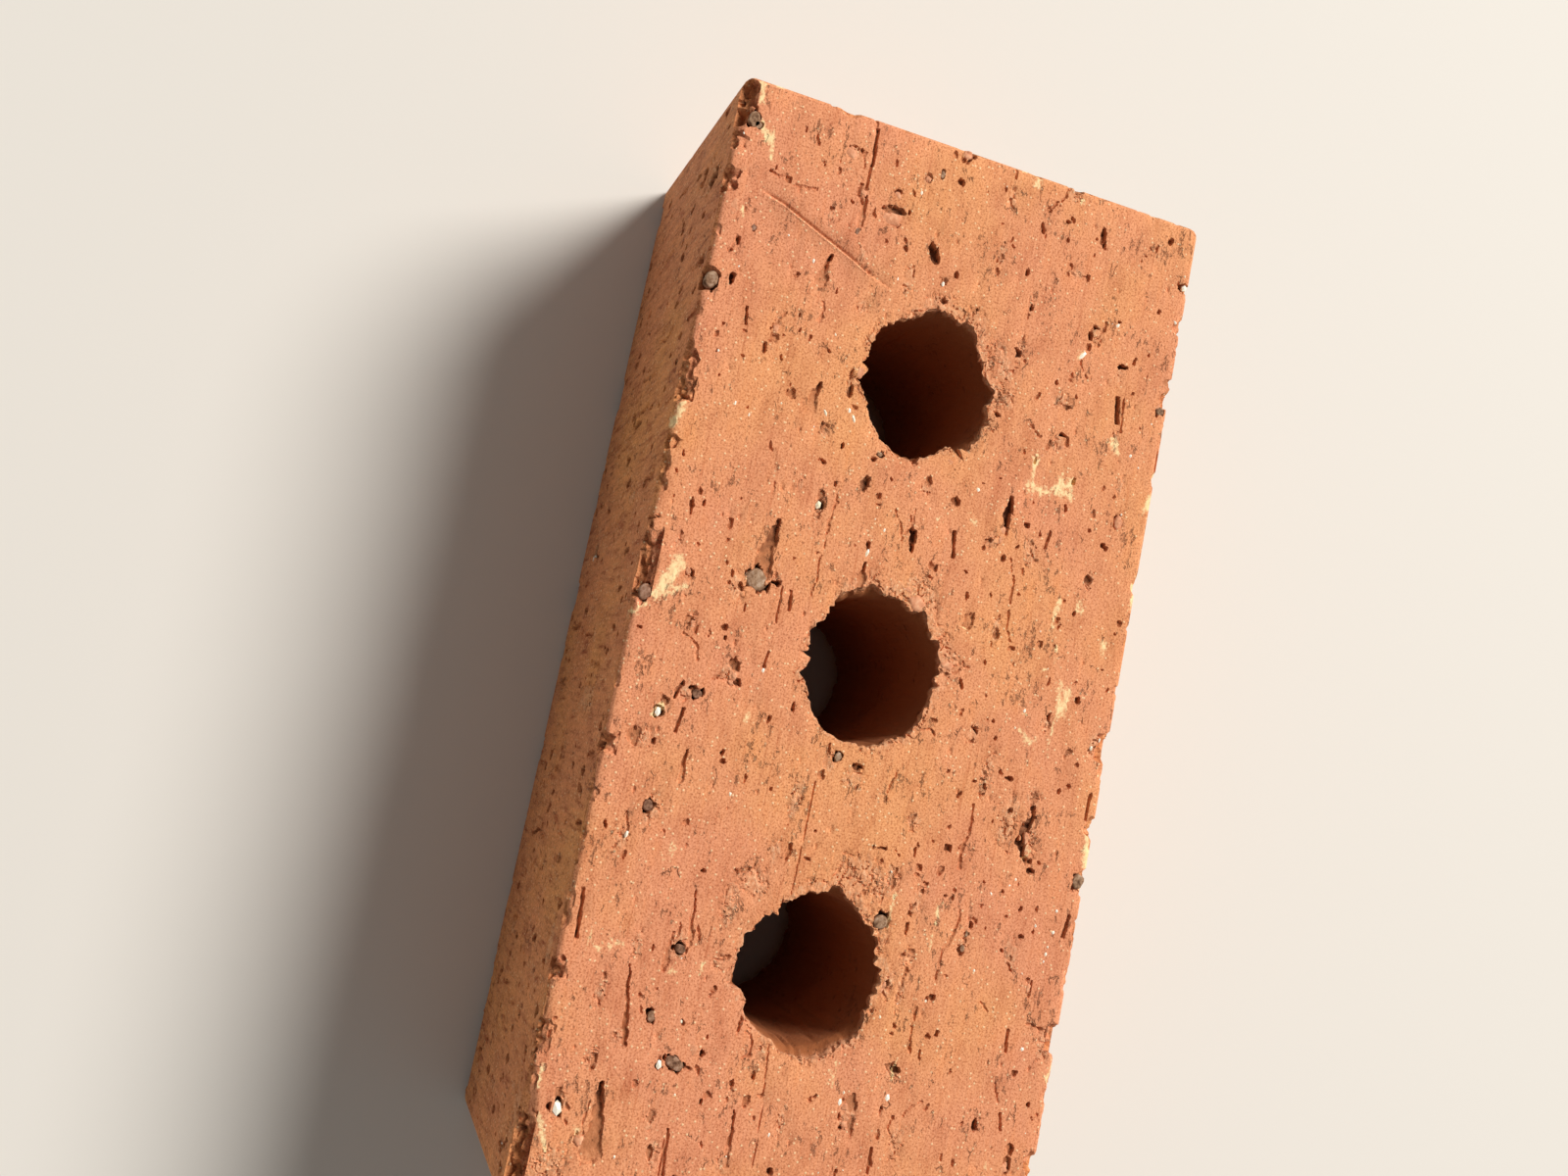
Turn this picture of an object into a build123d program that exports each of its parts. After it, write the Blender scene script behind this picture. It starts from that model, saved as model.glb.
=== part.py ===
"""Wire-cut clay brick with a row of three round cores, in millimetres.

The clay column comes out of the die along Z, so its section is the bed face: a rectangle with
rounded corners and a row of round cores. Taut wires then slice the column into bricks. A wire
breaks the edges that it leaves, drags the upper rims of the cores open along the brick, plucks
grains out of the upper bed, and tears the lower mouths of the cores wide. Handling chips the upper
arrises.

X runs along the length, Y across the width, and Z up. The origin is the centre of the lower bed
face, which the brick rests on. The front stretcher face looks towards -Y.
"""

import os
from math import sqrt

from build123d import *

# The die's section, which is the bed face
brick_length = 222.0
brick_width = 106.0
die_corner_radius = 2.0

# The wires' spacing, which is the height of the brick as laid
brick_height = 73.0

# The cores, left by round rods in the die
core_count = 3
core_diameter = 30.0
core_pitch = 60.0
core_row_offset = -3.0  # the row stands a little nearer the front stretcher face

# The broken edge that the wire leaves round each bed face
cut_edge_break = 0.8

# The upper rim of each core, dragged into an oval that is longest along the brick
rim_drag_length = 33.0
rim_drag_width = 30.6
rim_drag_depth = 3.0

# The lower mouth of each core, torn open where the wire leaves the clay
mouth_tear_width = 5.0
mouth_tear_height = 10.0
mouth_tear_hollow = 0.6  # how far the torn flank is scooped out behind a straight slope

# Chips in the upper arrises: place as a share of half the arris, length along it, and depth
front_arris_chips = (
    (-0.94, 14.0, 2.2),
    (-0.61, 6.0, 1.8),
    (-0.43, 11.0, 1.4),
    (-0.09, 15.0, 2.6),
    (0.22, 6.0, 1.2),
    (0.60, 5.0, 1.2),
    (0.87, 24.0, 2.4),
)
back_arris_chips = (
    (-0.87, 4.0, 1.2),
    (-0.65, 6.0, 1.6),
    (0.05, 9.0, 1.6),
    (0.60, 7.0, 1.4),
    (0.82, 6.0, 1.6),
)

# The larger marks that the wire plucked out of the upper bed: place as shares of half the length and
# of half the width, length, width, depth, and turn from the brick's length in degrees
bed_marks = (
    (-0.834, -0.315, 6.6, 4.0, 1.5, 98),
    (-0.786, -0.130, 4.6, 2.0, 1.2, 20),
    (-0.922, -0.526, 4.2, 3.0, 1.0, 0),
    (-0.680, -0.551, 8.4, 2.2, 1.1, -10),
    (-0.459, -0.491, 6.2, 2.0, 1.1, -18),
    (-0.554, -0.685, 5.0, 2.2, 1.2, 0),
    (-0.504, -0.358, 6.0, 1.6, 1.0, 0),
    (-0.270, -0.385, 6.0, 1.8, 1.0, 0),
    (-0.162, -0.540, 13.0, 3.0, 1.6, -6),
    (-0.252, 0.011, 4.8, 1.9, 1.2, 0),
    (0.054, -0.574, 5.0, 2.8, 1.2, 20),
    (0.114, -0.777, 4.6, 1.6, 1.1, -15),
    (0.198, -0.891, 4.4, 3.0, 1.3, 0),
    (0.231, -0.691, 6.2, 1.5, 1.0, 0),
    (0.539, -0.555, 4.2, 2.6, 1.2, 0),
    (0.649, -0.711, 14.6, 1.2, 0.9, 8),
    (0.730, -0.498, 4.4, 2.8, 1.3, 65),
    (0.842, -0.734, 14.0, 3.0, 1.5, 2),
    (0.820, -0.879, 6.0, 3.6, 1.3, 0),
    (0.770, 0.200, 7.6, 2.8, 1.3, 5),
    (-0.596, 0.772, 6.0, 1.4, 1.1, 8),
    (-0.712, 0.602, 7.0, 2.0, 1.2, -15),
    (-0.504, 0.557, 5.0, 2.2, 1.2, 0),
    (-0.387, 0.874, 4.6, 3.0, 1.3, 5),
    (-0.917, 0.574, 4.6, 1.9, 1.2, 5),
    (-0.336, 0.387, 9.4, 2.2, 1.6, 0),
    (-0.263, 0.181, 5.4, 1.2, 1.0, 4),
    (0.213, 0.709, 8.4, 1.4, 1.2, -16),
    (0.507, 0.834, 4.2, 2.0, 1.1, 0),
    (0.813, 0.877, 6.2, 2.2, 1.2, 5),
    (0.450, 0.526, 5.6, 1.5, 1.0, -8),
    (0.396, 0.302, 11.6, 1.5, 1.0, -11),
)
mark_wall_slope = 25.0  # degrees from upright, so that a mark narrows as it goes in

core_radius = core_diameter / 2
mouth_radius = core_radius + mouth_tear_width

# The space inside one core: the rod's straight wall, with the dragged rim above and the tear below
with BuildPart() as core_void:
    with BuildSketch(Plane.XZ) as core_half_section:
        with BuildLine() as core_outline:
            tear_bottom = (mouth_radius, 0)
            tear_top = (core_radius, mouth_tear_height)
            SagittaArc(tear_bottom, tear_top, -mouth_tear_hollow)
            Polyline(tear_top, (core_radius, brick_height), (0, brick_height), (0, 0), tear_bottom)
        make_face()
    revolve(axis=Axis.Z)

    with BuildSketch(Plane.XY.offset(brick_height - rim_drag_depth)):
        Circle(core_radius)
    with BuildSketch(Plane.XY.offset(brick_height)):
        Ellipse(rim_drag_length / 2, rim_drag_width / 2)
    loft()

with BuildPart() as brick:
    with BuildSketch(Plane.XY) as die_section:
        RectangleRounded(brick_length, brick_width, die_corner_radius)
    extrude(amount=brick_height)

    bed_arrises = brick.edges().group_by(Axis.Z)[0] + brick.edges().group_by(Axis.Z)[-1]
    chamfer(bed_arrises, length=cut_edge_break)

    with Locations((0, core_row_offset)):
        with GridLocations(core_pitch, 0, core_count, 1):
            add(core_void.part, mode=Mode.SUBTRACT)

    # Each chip is a shallow scoop that cuts in at 45 degrees between the bed and the stretcher
    for side, arris_chips in ((-1, front_arris_chips), (1, back_arris_chips)):
        for place, chip_length, chip_depth in arris_chips:
            scoop_radius = (chip_length**2 / 4 + chip_depth**2) / (2 * chip_depth)
            scoop_reach = (scoop_radius - chip_depth) / sqrt(2)
            scoop_centre = (
                place * brick_length / 2,
                side * (brick_width / 2 + scoop_reach),
                brick_height + scoop_reach,
            )
            with Locations(scoop_centre):
                Sphere(scoop_radius, mode=Mode.SUBTRACT)

    # Each mark is a round-ended hollow that goes straight down from the bed and narrows
    for along, across, mark_length, mark_width, mark_depth, turn in bed_marks:
        mark_place = (along * brick_length / 2, across * brick_width / 2, brick_height)
        with BuildSketch(Plane(origin=mark_place)):
            SlotOverall(mark_length, mark_width, rotation=turn)
        extrude(amount=-mark_depth, taper=mark_wall_slope, mode=Mode.SUBTRACT)

brick.part.label = "brick"
os.makedirs("parts", exist_ok=True)
export_step(brick.part, "parts/brick.step")

print("brick", brick.part.bounding_box().size, "volume", round(brick.part.volume), "mm3")
print("core wall between rim and tear", brick_height - rim_drag_depth - mouth_tear_height, "mm")
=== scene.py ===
# %% [markdown]
# A clay brick with three cores
# This lesson dresses the CAD model of a wire-cut clay brick. Stiff clay was pushed through a die with
# three rods in it, taut wires sliced the column into bricks, and they were dried and fired. Each step
# below stands for one thing that happened to the real brick.

import bmesh
import bpy
import numpy as np
from mathutils import Matrix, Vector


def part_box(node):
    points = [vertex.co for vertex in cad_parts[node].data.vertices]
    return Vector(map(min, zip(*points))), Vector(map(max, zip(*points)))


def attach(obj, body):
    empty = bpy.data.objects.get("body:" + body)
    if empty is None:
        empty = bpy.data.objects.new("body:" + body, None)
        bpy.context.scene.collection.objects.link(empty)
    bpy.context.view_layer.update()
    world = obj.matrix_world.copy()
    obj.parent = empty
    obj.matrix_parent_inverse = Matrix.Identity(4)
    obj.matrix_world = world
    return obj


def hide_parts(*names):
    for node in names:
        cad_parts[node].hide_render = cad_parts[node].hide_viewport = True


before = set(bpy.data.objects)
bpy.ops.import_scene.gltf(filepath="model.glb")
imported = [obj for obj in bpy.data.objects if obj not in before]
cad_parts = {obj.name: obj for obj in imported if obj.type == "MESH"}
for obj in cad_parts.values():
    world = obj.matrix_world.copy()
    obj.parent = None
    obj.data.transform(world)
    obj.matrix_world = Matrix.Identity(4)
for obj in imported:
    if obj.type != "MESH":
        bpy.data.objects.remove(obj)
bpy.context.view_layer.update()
MM = 0.001
low, high = (np.array(corner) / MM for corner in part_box("brick"))
print("brick, mm:", (high - low).round(1))

# %% [markdown]
# Tools for the whole lesson
# Colours are written as hex values, as a paint shop gives them, and one function turns them into the
# linear values that Blender works in. Another adds a node to any tree with its settings and links,
# so that materials and Geometry Nodes are built the same way.

# %% Colours, nodes, materials and objects
def srgb(code):
    """A hex colour such as c8845a as linear red, green, blue and alpha."""
    parts = [int(code[i : i + 2], 16) / 255 for i in (0, 2, 4)]
    return tuple(p / 12.92 if p <= 0.04045 else ((p + 0.055) / 1.055) ** 2.4 for p in parts) + (1.0,)


def add_node(tree, kind, inputs=None, ramp=None, **settings):
    """Adds a node and returns its outputs.

    inputs fills the node's sockets, by place as a list or by name or number as a dictionary, with
    values or with other nodes' outputs. ramp gives the stops of a colour ramp.
    """
    node = tree.nodes.new(kind)
    for name, value in settings.items():
        setattr(node, name, value)
    filled = inputs if isinstance(inputs, dict) else dict(enumerate(inputs or []))
    for socket, value in filled.items():
        if isinstance(value, bpy.types.NodeSocket):
            tree.links.new(value, node.inputs[socket])
        else:
            node.inputs[socket].default_value = value
    if ramp:
        stops = node.color_ramp.elements
        while len(stops) < len(ramp):
            stops.new(0.5)
        for stop, (place, value) in zip(stops, ramp):
            stop.position = place
            stop.color = srgb(value)
    return node.outputs


def new_material(name):
    """An empty material and its tree."""
    material = bpy.data.materials.new(name)
    material.use_nodes = True
    material.node_tree.nodes.clear()
    return material, material.node_tree


def new_object(name, mesh):
    """A mesh object at the origin."""
    piece = bpy.data.objects.new(name, mesh)
    bpy.context.scene.collection.objects.link(piece)
    return piece


print("fired clay is about", [round(c, 3) for c in srgb("eba173")[:3]], "in linear colours")

# %% [markdown]
# The studio
# A plain pale floor, a soft sky, and one large soft lamp high above the back left corner, far enough
# away to light the whole bed alike. The lamp and the sky add up to a level at which the upper bed
# renders about as its colours are written, and the front stretcher face, which looks away from the
# lamp, has about a third of its light, as in the photograph.

# %% Floor, sky and lamp
floor_reach = 4.0  # metres from the brick to the floor's edges
sky_strength = 0.21
lamp_width = 3.0
lamp_watts = 567.0
lamp_place = np.array((-2.97, 3.36, 4.59))

corners = [(x * floor_reach, y * floor_reach, 0) for x, y in ((-1, -1), (1, -1), (1, 1), (-1, 1))]
floor_mesh = bpy.data.meshes.new("floor")
floor_mesh.from_pydata(corners, [], [(0, 1, 2, 3)])
floor_paint, tree = new_material("matt_pale_floor")
shader = add_node(tree, "ShaderNodeBsdfPrincipled", {"Base Color": srgb("ddd6cb"), "Roughness": 0.9})
add_node(tree, "ShaderNodeOutputMaterial", {"Surface": shader[0]})
floor_mesh.materials.append(floor_paint)
floor = new_object("floor", floor_mesh)

sky = bpy.data.worlds.new("soft_sky")
bpy.context.scene.world = sky
sky.use_nodes = True
tree = sky.node_tree
tree.nodes.clear()
rays = add_node(tree, "ShaderNodeLightPath")
seen = add_node(tree, "ShaderNodeMath", [rays["Is Camera Ray"], rays["Is Glossy Ray"]], operation="MAXIMUM")
seen = add_node(tree, "ShaderNodeMath", [seen[0], rays["Is Transmission Ray"]], operation="MAXIMUM")
sky_light = add_node(tree, "ShaderNodeBackground", {"Color": srgb("ffffff"), "Strength": sky_strength})
sky_seen = add_node(tree, "ShaderNodeBackground", {"Color": srgb("e6e3de"), "Strength": 1.0})
sky_mix = add_node(tree, "ShaderNodeMixShader", [seen[0], sky_light[0], sky_seen[0]])
add_node(tree, "ShaderNodeOutputWorld", {"Surface": sky_mix[0]})

lamp = new_object("soft_lamp", bpy.data.lights.new("soft_lamp", "AREA"))
lamp.data.shape = "DISK"
lamp.data.size = lamp_width
lamp.data.energy = lamp_watts
lamp_back = lamp_place / np.linalg.norm(lamp_place)
lamp_right = np.cross((0, 0, 1), lamp_back)
lamp_right /= np.linalg.norm(lamp_right)
lamp_axes = np.stack([lamp_right, np.cross(lamp_back, lamp_right), lamp_back, lamp_place], 1)
lamp.matrix_world = Matrix([*lamp_axes.tolist(), [0, 0, 0, 1]])
bpy.context.scene.view_settings.view_transform = "Standard"
print("lamp stands", round(float(np.linalg.norm(lamp_place)), 2), "m from the brick")

# %% [markdown]
# The camera
# It stands where the photographer stood: 35 cm above the ground, over the front stretcher face, and
# looking steeply down along the brick, whose near end runs out of the picture. Its place and its
# three directions were worked out from the brick's corners and cores in the photograph.

# %% Camera
camera = new_object("camera", bpy.data.cameras.new("camera"))
camera_right = (-0.19996, 0.93237, 0.30117)
camera_up = (-0.97201, -0.22746, 0.05881)
camera_back = (0.12334, -0.28098, 0.95175)
camera_place = (0.02367, -0.10514, 0.34761)
camera_axes = np.stack([camera_right, camera_up, camera_back, camera_place], 1)
camera.matrix_world = Matrix([*camera_axes.tolist(), [0, 0, 0, 1]])
camera.data.sensor_width = 36
camera.data.lens = 33.65
camera.data.clip_start = 0.01
bpy.context.scene.camera = camera
print("camera", round(camera_place[2] / MM), "mm above the floor")

# %% [markdown]
# The body of clay
# The brick is solid clay, so its skin is one closed mesh. The CAD solid has a few long faces, and
# relief needs many small ones: a voxel remesh gives even squares half a millimetre wide all over, and
# those of the upper bed, which the photograph shows best, are cut in four. The work is done in
# millimetres and comes back to metres at the end. A modifier shows its result only while it is on,
# so one helper keeps the result as a plain mesh, and another reads its points.

# %% From modifiers to points
def bake_modifiers(piece):
    """Turns what the piece's modifiers make into its own plain mesh, and removes them."""
    graph = bpy.context.evaluated_depsgraph_get()
    made = bpy.data.meshes.new_from_object(piece.evaluated_get(graph))
    piece.modifiers.clear()
    piece.data = made
    return made


def read_points(mesh):
    """A mesh's points as rows of x, y and z."""
    flat = np.zeros(len(mesh.vertices) * 3, np.float32)
    mesh.vertices.foreach_get("co", flat)
    return flat.reshape(-1, 3).astype(float)


print("a mesh is read as rows of x, y and z")

# %% A dense mesh from the CAD solid
voxel = 0.5  # mm
finer_above = high[2] - 0.7  # the squares above this height are cut in four
least_gap = 0.001  # mm: points of the solid closer than this are one

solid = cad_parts["brick"].data.copy()
shape = bmesh.new()
shape.from_mesh(solid)
bmesh.ops.remove_doubles(shape, verts=shape.verts, dist=least_gap * MM)
bmesh.ops.scale(shape, vec=(1 / MM,) * 3, verts=shape.verts)
shape.to_mesh(solid)
shape.free()
skin = new_object("brick_skin", solid)
squares = skin.modifiers.new("even_squares", "REMESH")
squares.mode = "VOXEL"
squares.voxel_size = voxel
dense = bake_modifiers(skin)

shape = bmesh.new()
shape.from_mesh(dense)
upper_edges = [e for e in shape.edges if min(e.verts[0].co.z, e.verts[1].co.z) > finer_above]
bmesh.ops.subdivide_edges(shape, edges=upper_edges, cuts=1, use_grid_fill=True)
shape.to_mesh(dense)
shape.free()
points = read_points(dense)
print("dense mesh:", len(points), "points")

# %% [markdown]
# Two kinds of disorder
# Clay is uneven in two ways. Its surfaces swell and dip smoothly, which value noise gives, and where
# it is torn it breaks into clods with gaps between them, which cell noise gives. Both are plain
# arithmetic on the points with a fixed seed, so every run makes the same brick.

# %% Smooth bumps and clods
HASH = (73856093, 19349663, 83492791)  # a large prime for each axis
TABLE = 4096  # how many different numbers a noise holds


def table_index(cell):
    """A repeatable, jumbled place in a table for each cell of a grid."""
    key = np.zeros(len(cell), np.int64)
    for axis in range(cell.shape[1]):
        key ^= cell[:, axis] * HASH[axis]
    return key % TABLE


def smooth_step(start, end, value):
    """0 before start, 1 after end, and a smooth rise between them."""
    share = np.clip((value - start) / (end - start), 0, 1)
    return share * share * (3 - 2 * share)


def bumps(places, size, seed):
    """Smooth noise from -1 to 1, with a bump about every `size` mm."""
    grid = places / size
    cell = np.floor(grid).astype(np.int64)
    part = smooth_step(0, 1, grid - cell)
    table = np.random.default_rng(seed).uniform(-1, 1, TABLE)
    total = np.zeros(len(places))
    for corner in np.ndindex(*(2,) * places.shape[1]):
        share = np.prod(np.where(corner, part, 1 - part), axis=1)
        total += share * table[table_index(cell + corner)]
    return total


def warped(places, size, amount, seed):
    """Places pushed about by bumps, so that what is drawn on them comes out uneven."""
    push = [bumps(places, size, seed + axis) for axis in range(places.shape[1])]
    return places + amount * np.stack(push, 1)


def clods(places, size, seed):
    """Torn clay: how far a point is from the nearest gap, in mm, and a number from 0 to 1 for its clod."""
    grid = places / size
    cell = np.floor(grid).astype(np.int64)
    table = np.random.default_rng(seed).uniform(0, 1, (TABLE, places.shape[1]))
    nearest = np.full(len(places), np.inf)
    second = nearest.copy()
    number = np.zeros(len(places))
    for step in np.ndindex(*(3,) * places.shape[1]):
        other = cell + step - 1
        centre = table[table_index(other)]
        distance = np.linalg.norm(grid - other - centre, axis=1)
        closer = distance < nearest
        second = np.where(closer, nearest, np.minimum(second, distance))
        number = np.where(closer, centre[:, 0], number)
        nearest = np.where(closer, distance, nearest)
    return (second - nearest) * size, number


print("noise check:", bumps(points[:3], 5.0, 1).round(3))

# %% [markdown]
# The torn rims of the cores
# A wire cannot cut cleanly across a hole. It drags clay over the edge, so each core's rim is ragged,
# and a little wider along the brick than across it. The rims are drawn here as outlines, in
# millimetres on the upper bed, in the order in which one walks round the core. The skin near each
# core is moved outwards or inwards from the solid's smooth oval rim to follow its outline. The
# raggedness fades in the first millimetres of depth, where the rod has left a round, smooth wall.

# %% Rims, drawn from the photograph
core_radius = 15.0
core_row = -3.0  # the y of the three cores' axes
rims = {
    -60.0: (
        (-43.3, -2), (-43.5, -5), (-44.8, -8), (-46, -10), (-48, -12), (-50, -13.5), (-52.5, -14.5),
        (-55.5, -16), (-57, -17.5), (-58.5, -16), (-59.5, -15.5), (-60.5, -17.2), (-62, -16.3), (-65, -16),
        (-67.5, -15.5), (-69.5, -14), (-70.5, -12.5), (-71.5, -10.5), (-73, -8), (-74.5, -6), (-76, -4.5),
        (-76, -2.5), (-75.3, -0.5), (-74.2, 2), (-75, 3), (-74, 5), (-72, 6.5), (-70, 6.8), (-68, 8),
        (-65.5, 9), (-64, 10), (-63.3, 11.5), (-62, 12.4), (-60.5, 12), (-59.5, 11.3), (-58.3, 11.2),
        (-57, 12), (-55, 11.9), (-53.8, 11.2), (-51.5, 10.4), (-50, 9.5), (-48.5, 8.5), (-46.8, 8),
        (-49, 6.6), (-48.4, 5), (-47, 3), (-46, 1.5), (-45.2, 0), (-44.8, -1.2),
    ),
    0.0: (
        (15.2, -3), (15, -6), (14.5, -8.5), (13, -11), (11, -13), (8.5, -14.2), (6, -15.2), (4.3, -16),
        (3.5, -17.7), (2.8, -16.3), (0.3, -15.3), (-0.5, -17.5), (-1, -16.3), (-5.5, -16.6), (-7, -15.8),
        (-8, -14.3), (-10, -13.8), (-12.5, -12.5), (-14.7, -10.5), (-15.8, -8), (-17, -5.2), (-16.5, -4.3),
        (-15.5, -3), (-15.3, -0.5), (-14.8, 1.5), (-13.3, 3), (-13.3, 4.5), (-14.2, 6), (-13, 7.2),
        (-10.5, 8), (-9, 8.9), (-8.5, 10.3), (-6, 11.2), (-4.5, 11.6), (-2.5, 11.8), (-1, 10.9), (0, 11.9),
        (1.5, 11), (4, 11), (5.5, 10.5), (7, 9.8), (9.5, 8.7), (12, 6.5), (13.5, 4), (14.6, 1), (15, -1),
    ),
    60.0: (
        (76.7, -1), (76.6, -3), (76, -6), (74.5, -8), (73.2, -10.5), (72.8, -12), (71, -14), (69.5, -15.2),
        (68, -14.6), (67, -15.3), (65.7, -16), (65, -18.3), (64, -18.6), (61, -18), (59, -18.2),
        (57, -17.7), (55.2, -17.6), (54.5, -16.5), (52, -15.3), (50.8, -13.8), (50.3, -12), (48, -10.8),
        (46.8, -9), (45.5, -7), (45, -4.8), (44, -2.5), (43, -1.5), (43.3, 0), (44.5, 0.8), (45.3, 2),
        (46.5, 3.7), (48, 5.2), (49, 6.5), (49.7, 8.1), (51.5, 8.9), (52.7, 9.7), (54.5, 9.6), (55.2, 10.5),
        (56.5, 9.8), (57.5, 11.2), (59, 11.6), (60, 11.8), (61, 11.3), (62.3, 11.5), (63, 10.4),
        (64.5, 10.3), (65.3, 11.2), (66, 9.9), (68, 9.8), (70, 9.5), (71.5, 8.5), (73, 6.5), (74.5, 5),
        (75.8, 2.5), (76.5, 0.5),
    ),
}
print("rims drawn with", [len(outline) for outline in rims.values()], "points")

# %% [markdown]
# A flat bed to start from
# The solid's own marks have plain round ends. The bed is filled up again here, and the same marks
# are pressed in further down with the ragged outlines of the photograph.

# %% Filling up the solid's marks
solid_rim = (16.5, 15.3)  # the solid's oval rim at the bed: half its length and half its width
plate_depth = 2.2  # how far down the solid's own marks on the bed go
flat_within = (109.0, 49.2)  # the middle of the bed, clear of the chips in its arrises
from_bed = high[2] - points[:, 2]
on_plate = (from_bed < plate_depth) & (np.abs(points[:, :2]) < flat_within).all(1)
for core_x in rims:
    offset = points[:, :2] - (core_x, core_row)
    on_plate &= np.hypot(*(offset / solid_rim).T) > 1.0
points[on_plate, 2] = high[2]
print(int(on_plate.sum()), "points on the flat bed")

# %% Moving the skin to the rims
solid_rim_depth = 3.0  # below this the solid's wall is round
rim_reach = 12.0  # the skin farther than this from a rim stays where it is
rim_hold = 1.5  # and nearer than this it follows the outline by all of its distance
ragged_from, ragged_to = 0.4, 4.5  # the raggedness fades between these depths
rim_teeth = ((0.32, 0.9, 11), (0.22, 0.45, 12))  # finer than the drawn outline: height, width, seed

# The material paints shade in the marks by their depth, kept in hollow.
hollow = np.zeros(len(points))  # how deep a mark is at each point, in mm
torn = np.zeros(len(points))  # 1 where the clay is torn into clods
rim_gap = np.full(len(points), 99.0)  # how far a point is from the nearest rim, in mm, up to this
steps = np.radians(np.arange(-180, 180))
depth_below_bed = high[2] - points[:, 2]
for core_x, outline in rims.items():
    from_axis = points[:, :2] - (core_x, core_row)
    distance = np.hypot(*from_axis.T)
    near = np.nonzero(distance < core_radius + rim_reach)[0]
    angle = np.arctan2(from_axis[near, 1], from_axis[near, 0])
    drawn = np.array(outline) - (core_x, core_row)
    drawn_angle = np.arctan2(drawn[:, 1], drawn[:, 0])
    order = np.argsort(drawn_angle)
    ragged = np.interp(steps, drawn_angle[order], np.hypot(*drawn[order].T), period=2 * np.pi)
    depth = depth_below_bed[near]
    ring = np.stack([angle * core_radius, depth * 0.5], 1)
    teeth = sum(height * bumps(ring, width, seed) for height, width, seed in rim_teeth)
    solid_edge = 1 / np.hypot(np.cos(angle) / solid_rim[0], np.sin(angle) / solid_rim[1])
    solid_wall = core_radius + (solid_edge - core_radius) * np.clip(1 - depth / solid_rim_depth, 0, 1)
    ragged_wall = np.interp(angle, steps, ragged, period=2 * np.pi) + teeth
    wanted = core_radius + (ragged_wall - core_radius) * (1 - smooth_step(ragged_from, ragged_to, depth))
    hold = 1 - smooth_step(core_radius + rim_hold, core_radius + rim_reach, distance[near])
    moved = distance[near] + (wanted - solid_wall) * hold
    points[near, :2] = (core_x, core_row) + from_axis[near] * (moved / distance[near])[:, None]
    rim_gap[near] = np.minimum(rim_gap[near], np.maximum(moved - wanted, 0))
    print("core at", core_x, "rim from", round(ragged.min(), 1), "to", round(ragged.max(), 1), "mm")

# %% [markdown]
# Six faces to draw on
# The wire dragged grit over the beds along the brick's length, and the die pulled streaks along the
# four sides from bed to bed. Each face gets its own flat drawing board, so that a mark is a few
# numbers: where it is, how long, how wide and how it is turned. Pressing all marks of a face into the
# skin only ever takes clay away, so the brick keeps its size.

# %% Drawing boards
boards = {
    # name: (axis that points out, its side, the board's two axes, the axis of the streaks)
    "upper_bed": (2, 1, (0, 1), 0),
    "lower_bed": (2, -1, (0, 1), 0),
    "front_stretcher": (1, -1, (0, 2), 2),
    "back_stretcher": (1, 1, (0, 2), 2),
    "left_header": (0, -1, (1, 2), 2),
    "right_header": (0, 1, (1, 2), 2),
}
press_reach = 3.0  # how far under a face its marks move the skin
full_press = 1.0  # down to here they move it by all of their depth


def depth_under(name):
    """How far each point lies under a face, in mm."""
    axis, side = boards[name][:2]
    return high[axis] - points[:, axis] if side > 0 else points[:, axis] - low[axis]


depths = {name: depth_under(name) for name in boards}
print({name: int((depth < 1).sum()) for name, depth in depths.items()}, "points near each face")

# %% [markdown]
# The shapes of marks
# Six shapes cover what a wire does to clay. A pit is where a grain or a crumb was torn out, and a
# pluck is a shallow one. A drag is the groove behind a grain that the wire pulled along, narrow and
# deep where it starts, wide and shallow where it ends. A slot is a straight groove with sharp sides.
# A crack is a thin broken line. A crumble is a zone where the skin is torn into clods.

# %% Pits and plucks
by_x, by_y = 7.31, 3.17  # these jumble a pluck's place into a number from 0 to 1


def full_depth(wide, most=2.2):
    """Narrow marks are shallow, and wide ones are no deeper than the wire can pluck."""
    return np.clip(0.45 + 0.6 * wide, 0.55, most)


def oval(flat, x, y, long, wide, turn):
    """0 in the middle of a turned oval, 1 on its edge, and more outside it."""
    c, s = np.cos(np.radians(turn)), np.sin(np.radians(turn))
    dx, dy = (flat - (x, y)).T
    return np.hypot((dx * c + dy * s) / (long / 2), (dy * c - dx * s) / (wide / 2))


def pit(flat, rag, x, y, long, wide, turn=0.0):
    """An uneven oval hollow."""
    edge = oval(flat, x, y, long, wide, turn)
    return full_depth(1.1 * wide) * (1 - smooth_step(0.74, 1.0, edge + rag))


def pluck(flat, rag, x, y, long, wide, turn=0.0):
    """A shallow pit. How deep differs from one to the next, by its own place on the face."""
    spread = (by_x * x + by_y * y) % 1
    depth = np.clip(0.5 + 0.3 * wide, 0.6, 1.0) * (0.65 + 0.8 * spread**2)
    return depth / full_depth(1.1 * wide) * pit(flat, rag, x, y, long, wide, turn)


print("a grain 1 mm wide leaves a pit", round(float(full_depth(1.1)), 2), "mm deep")

# %% Drags, slots and cracks
off_line = 99.0  # mm: farther than any mark reaches


def along_line(flat, start, end):
    """How far along a line each point is, from 0 to 1, and how far beside it in mm."""
    line = np.subtract(end, start)
    reach = np.hypot(*line)
    offset = flat - start
    share = offset @ line / reach**2
    side = (offset[:, 0] * line[1] - offset[:, 1] * line[0]) / reach
    past = (np.clip(share, 0, 1) - share) * reach
    return np.clip(share, 0, 1), side, past


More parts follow.
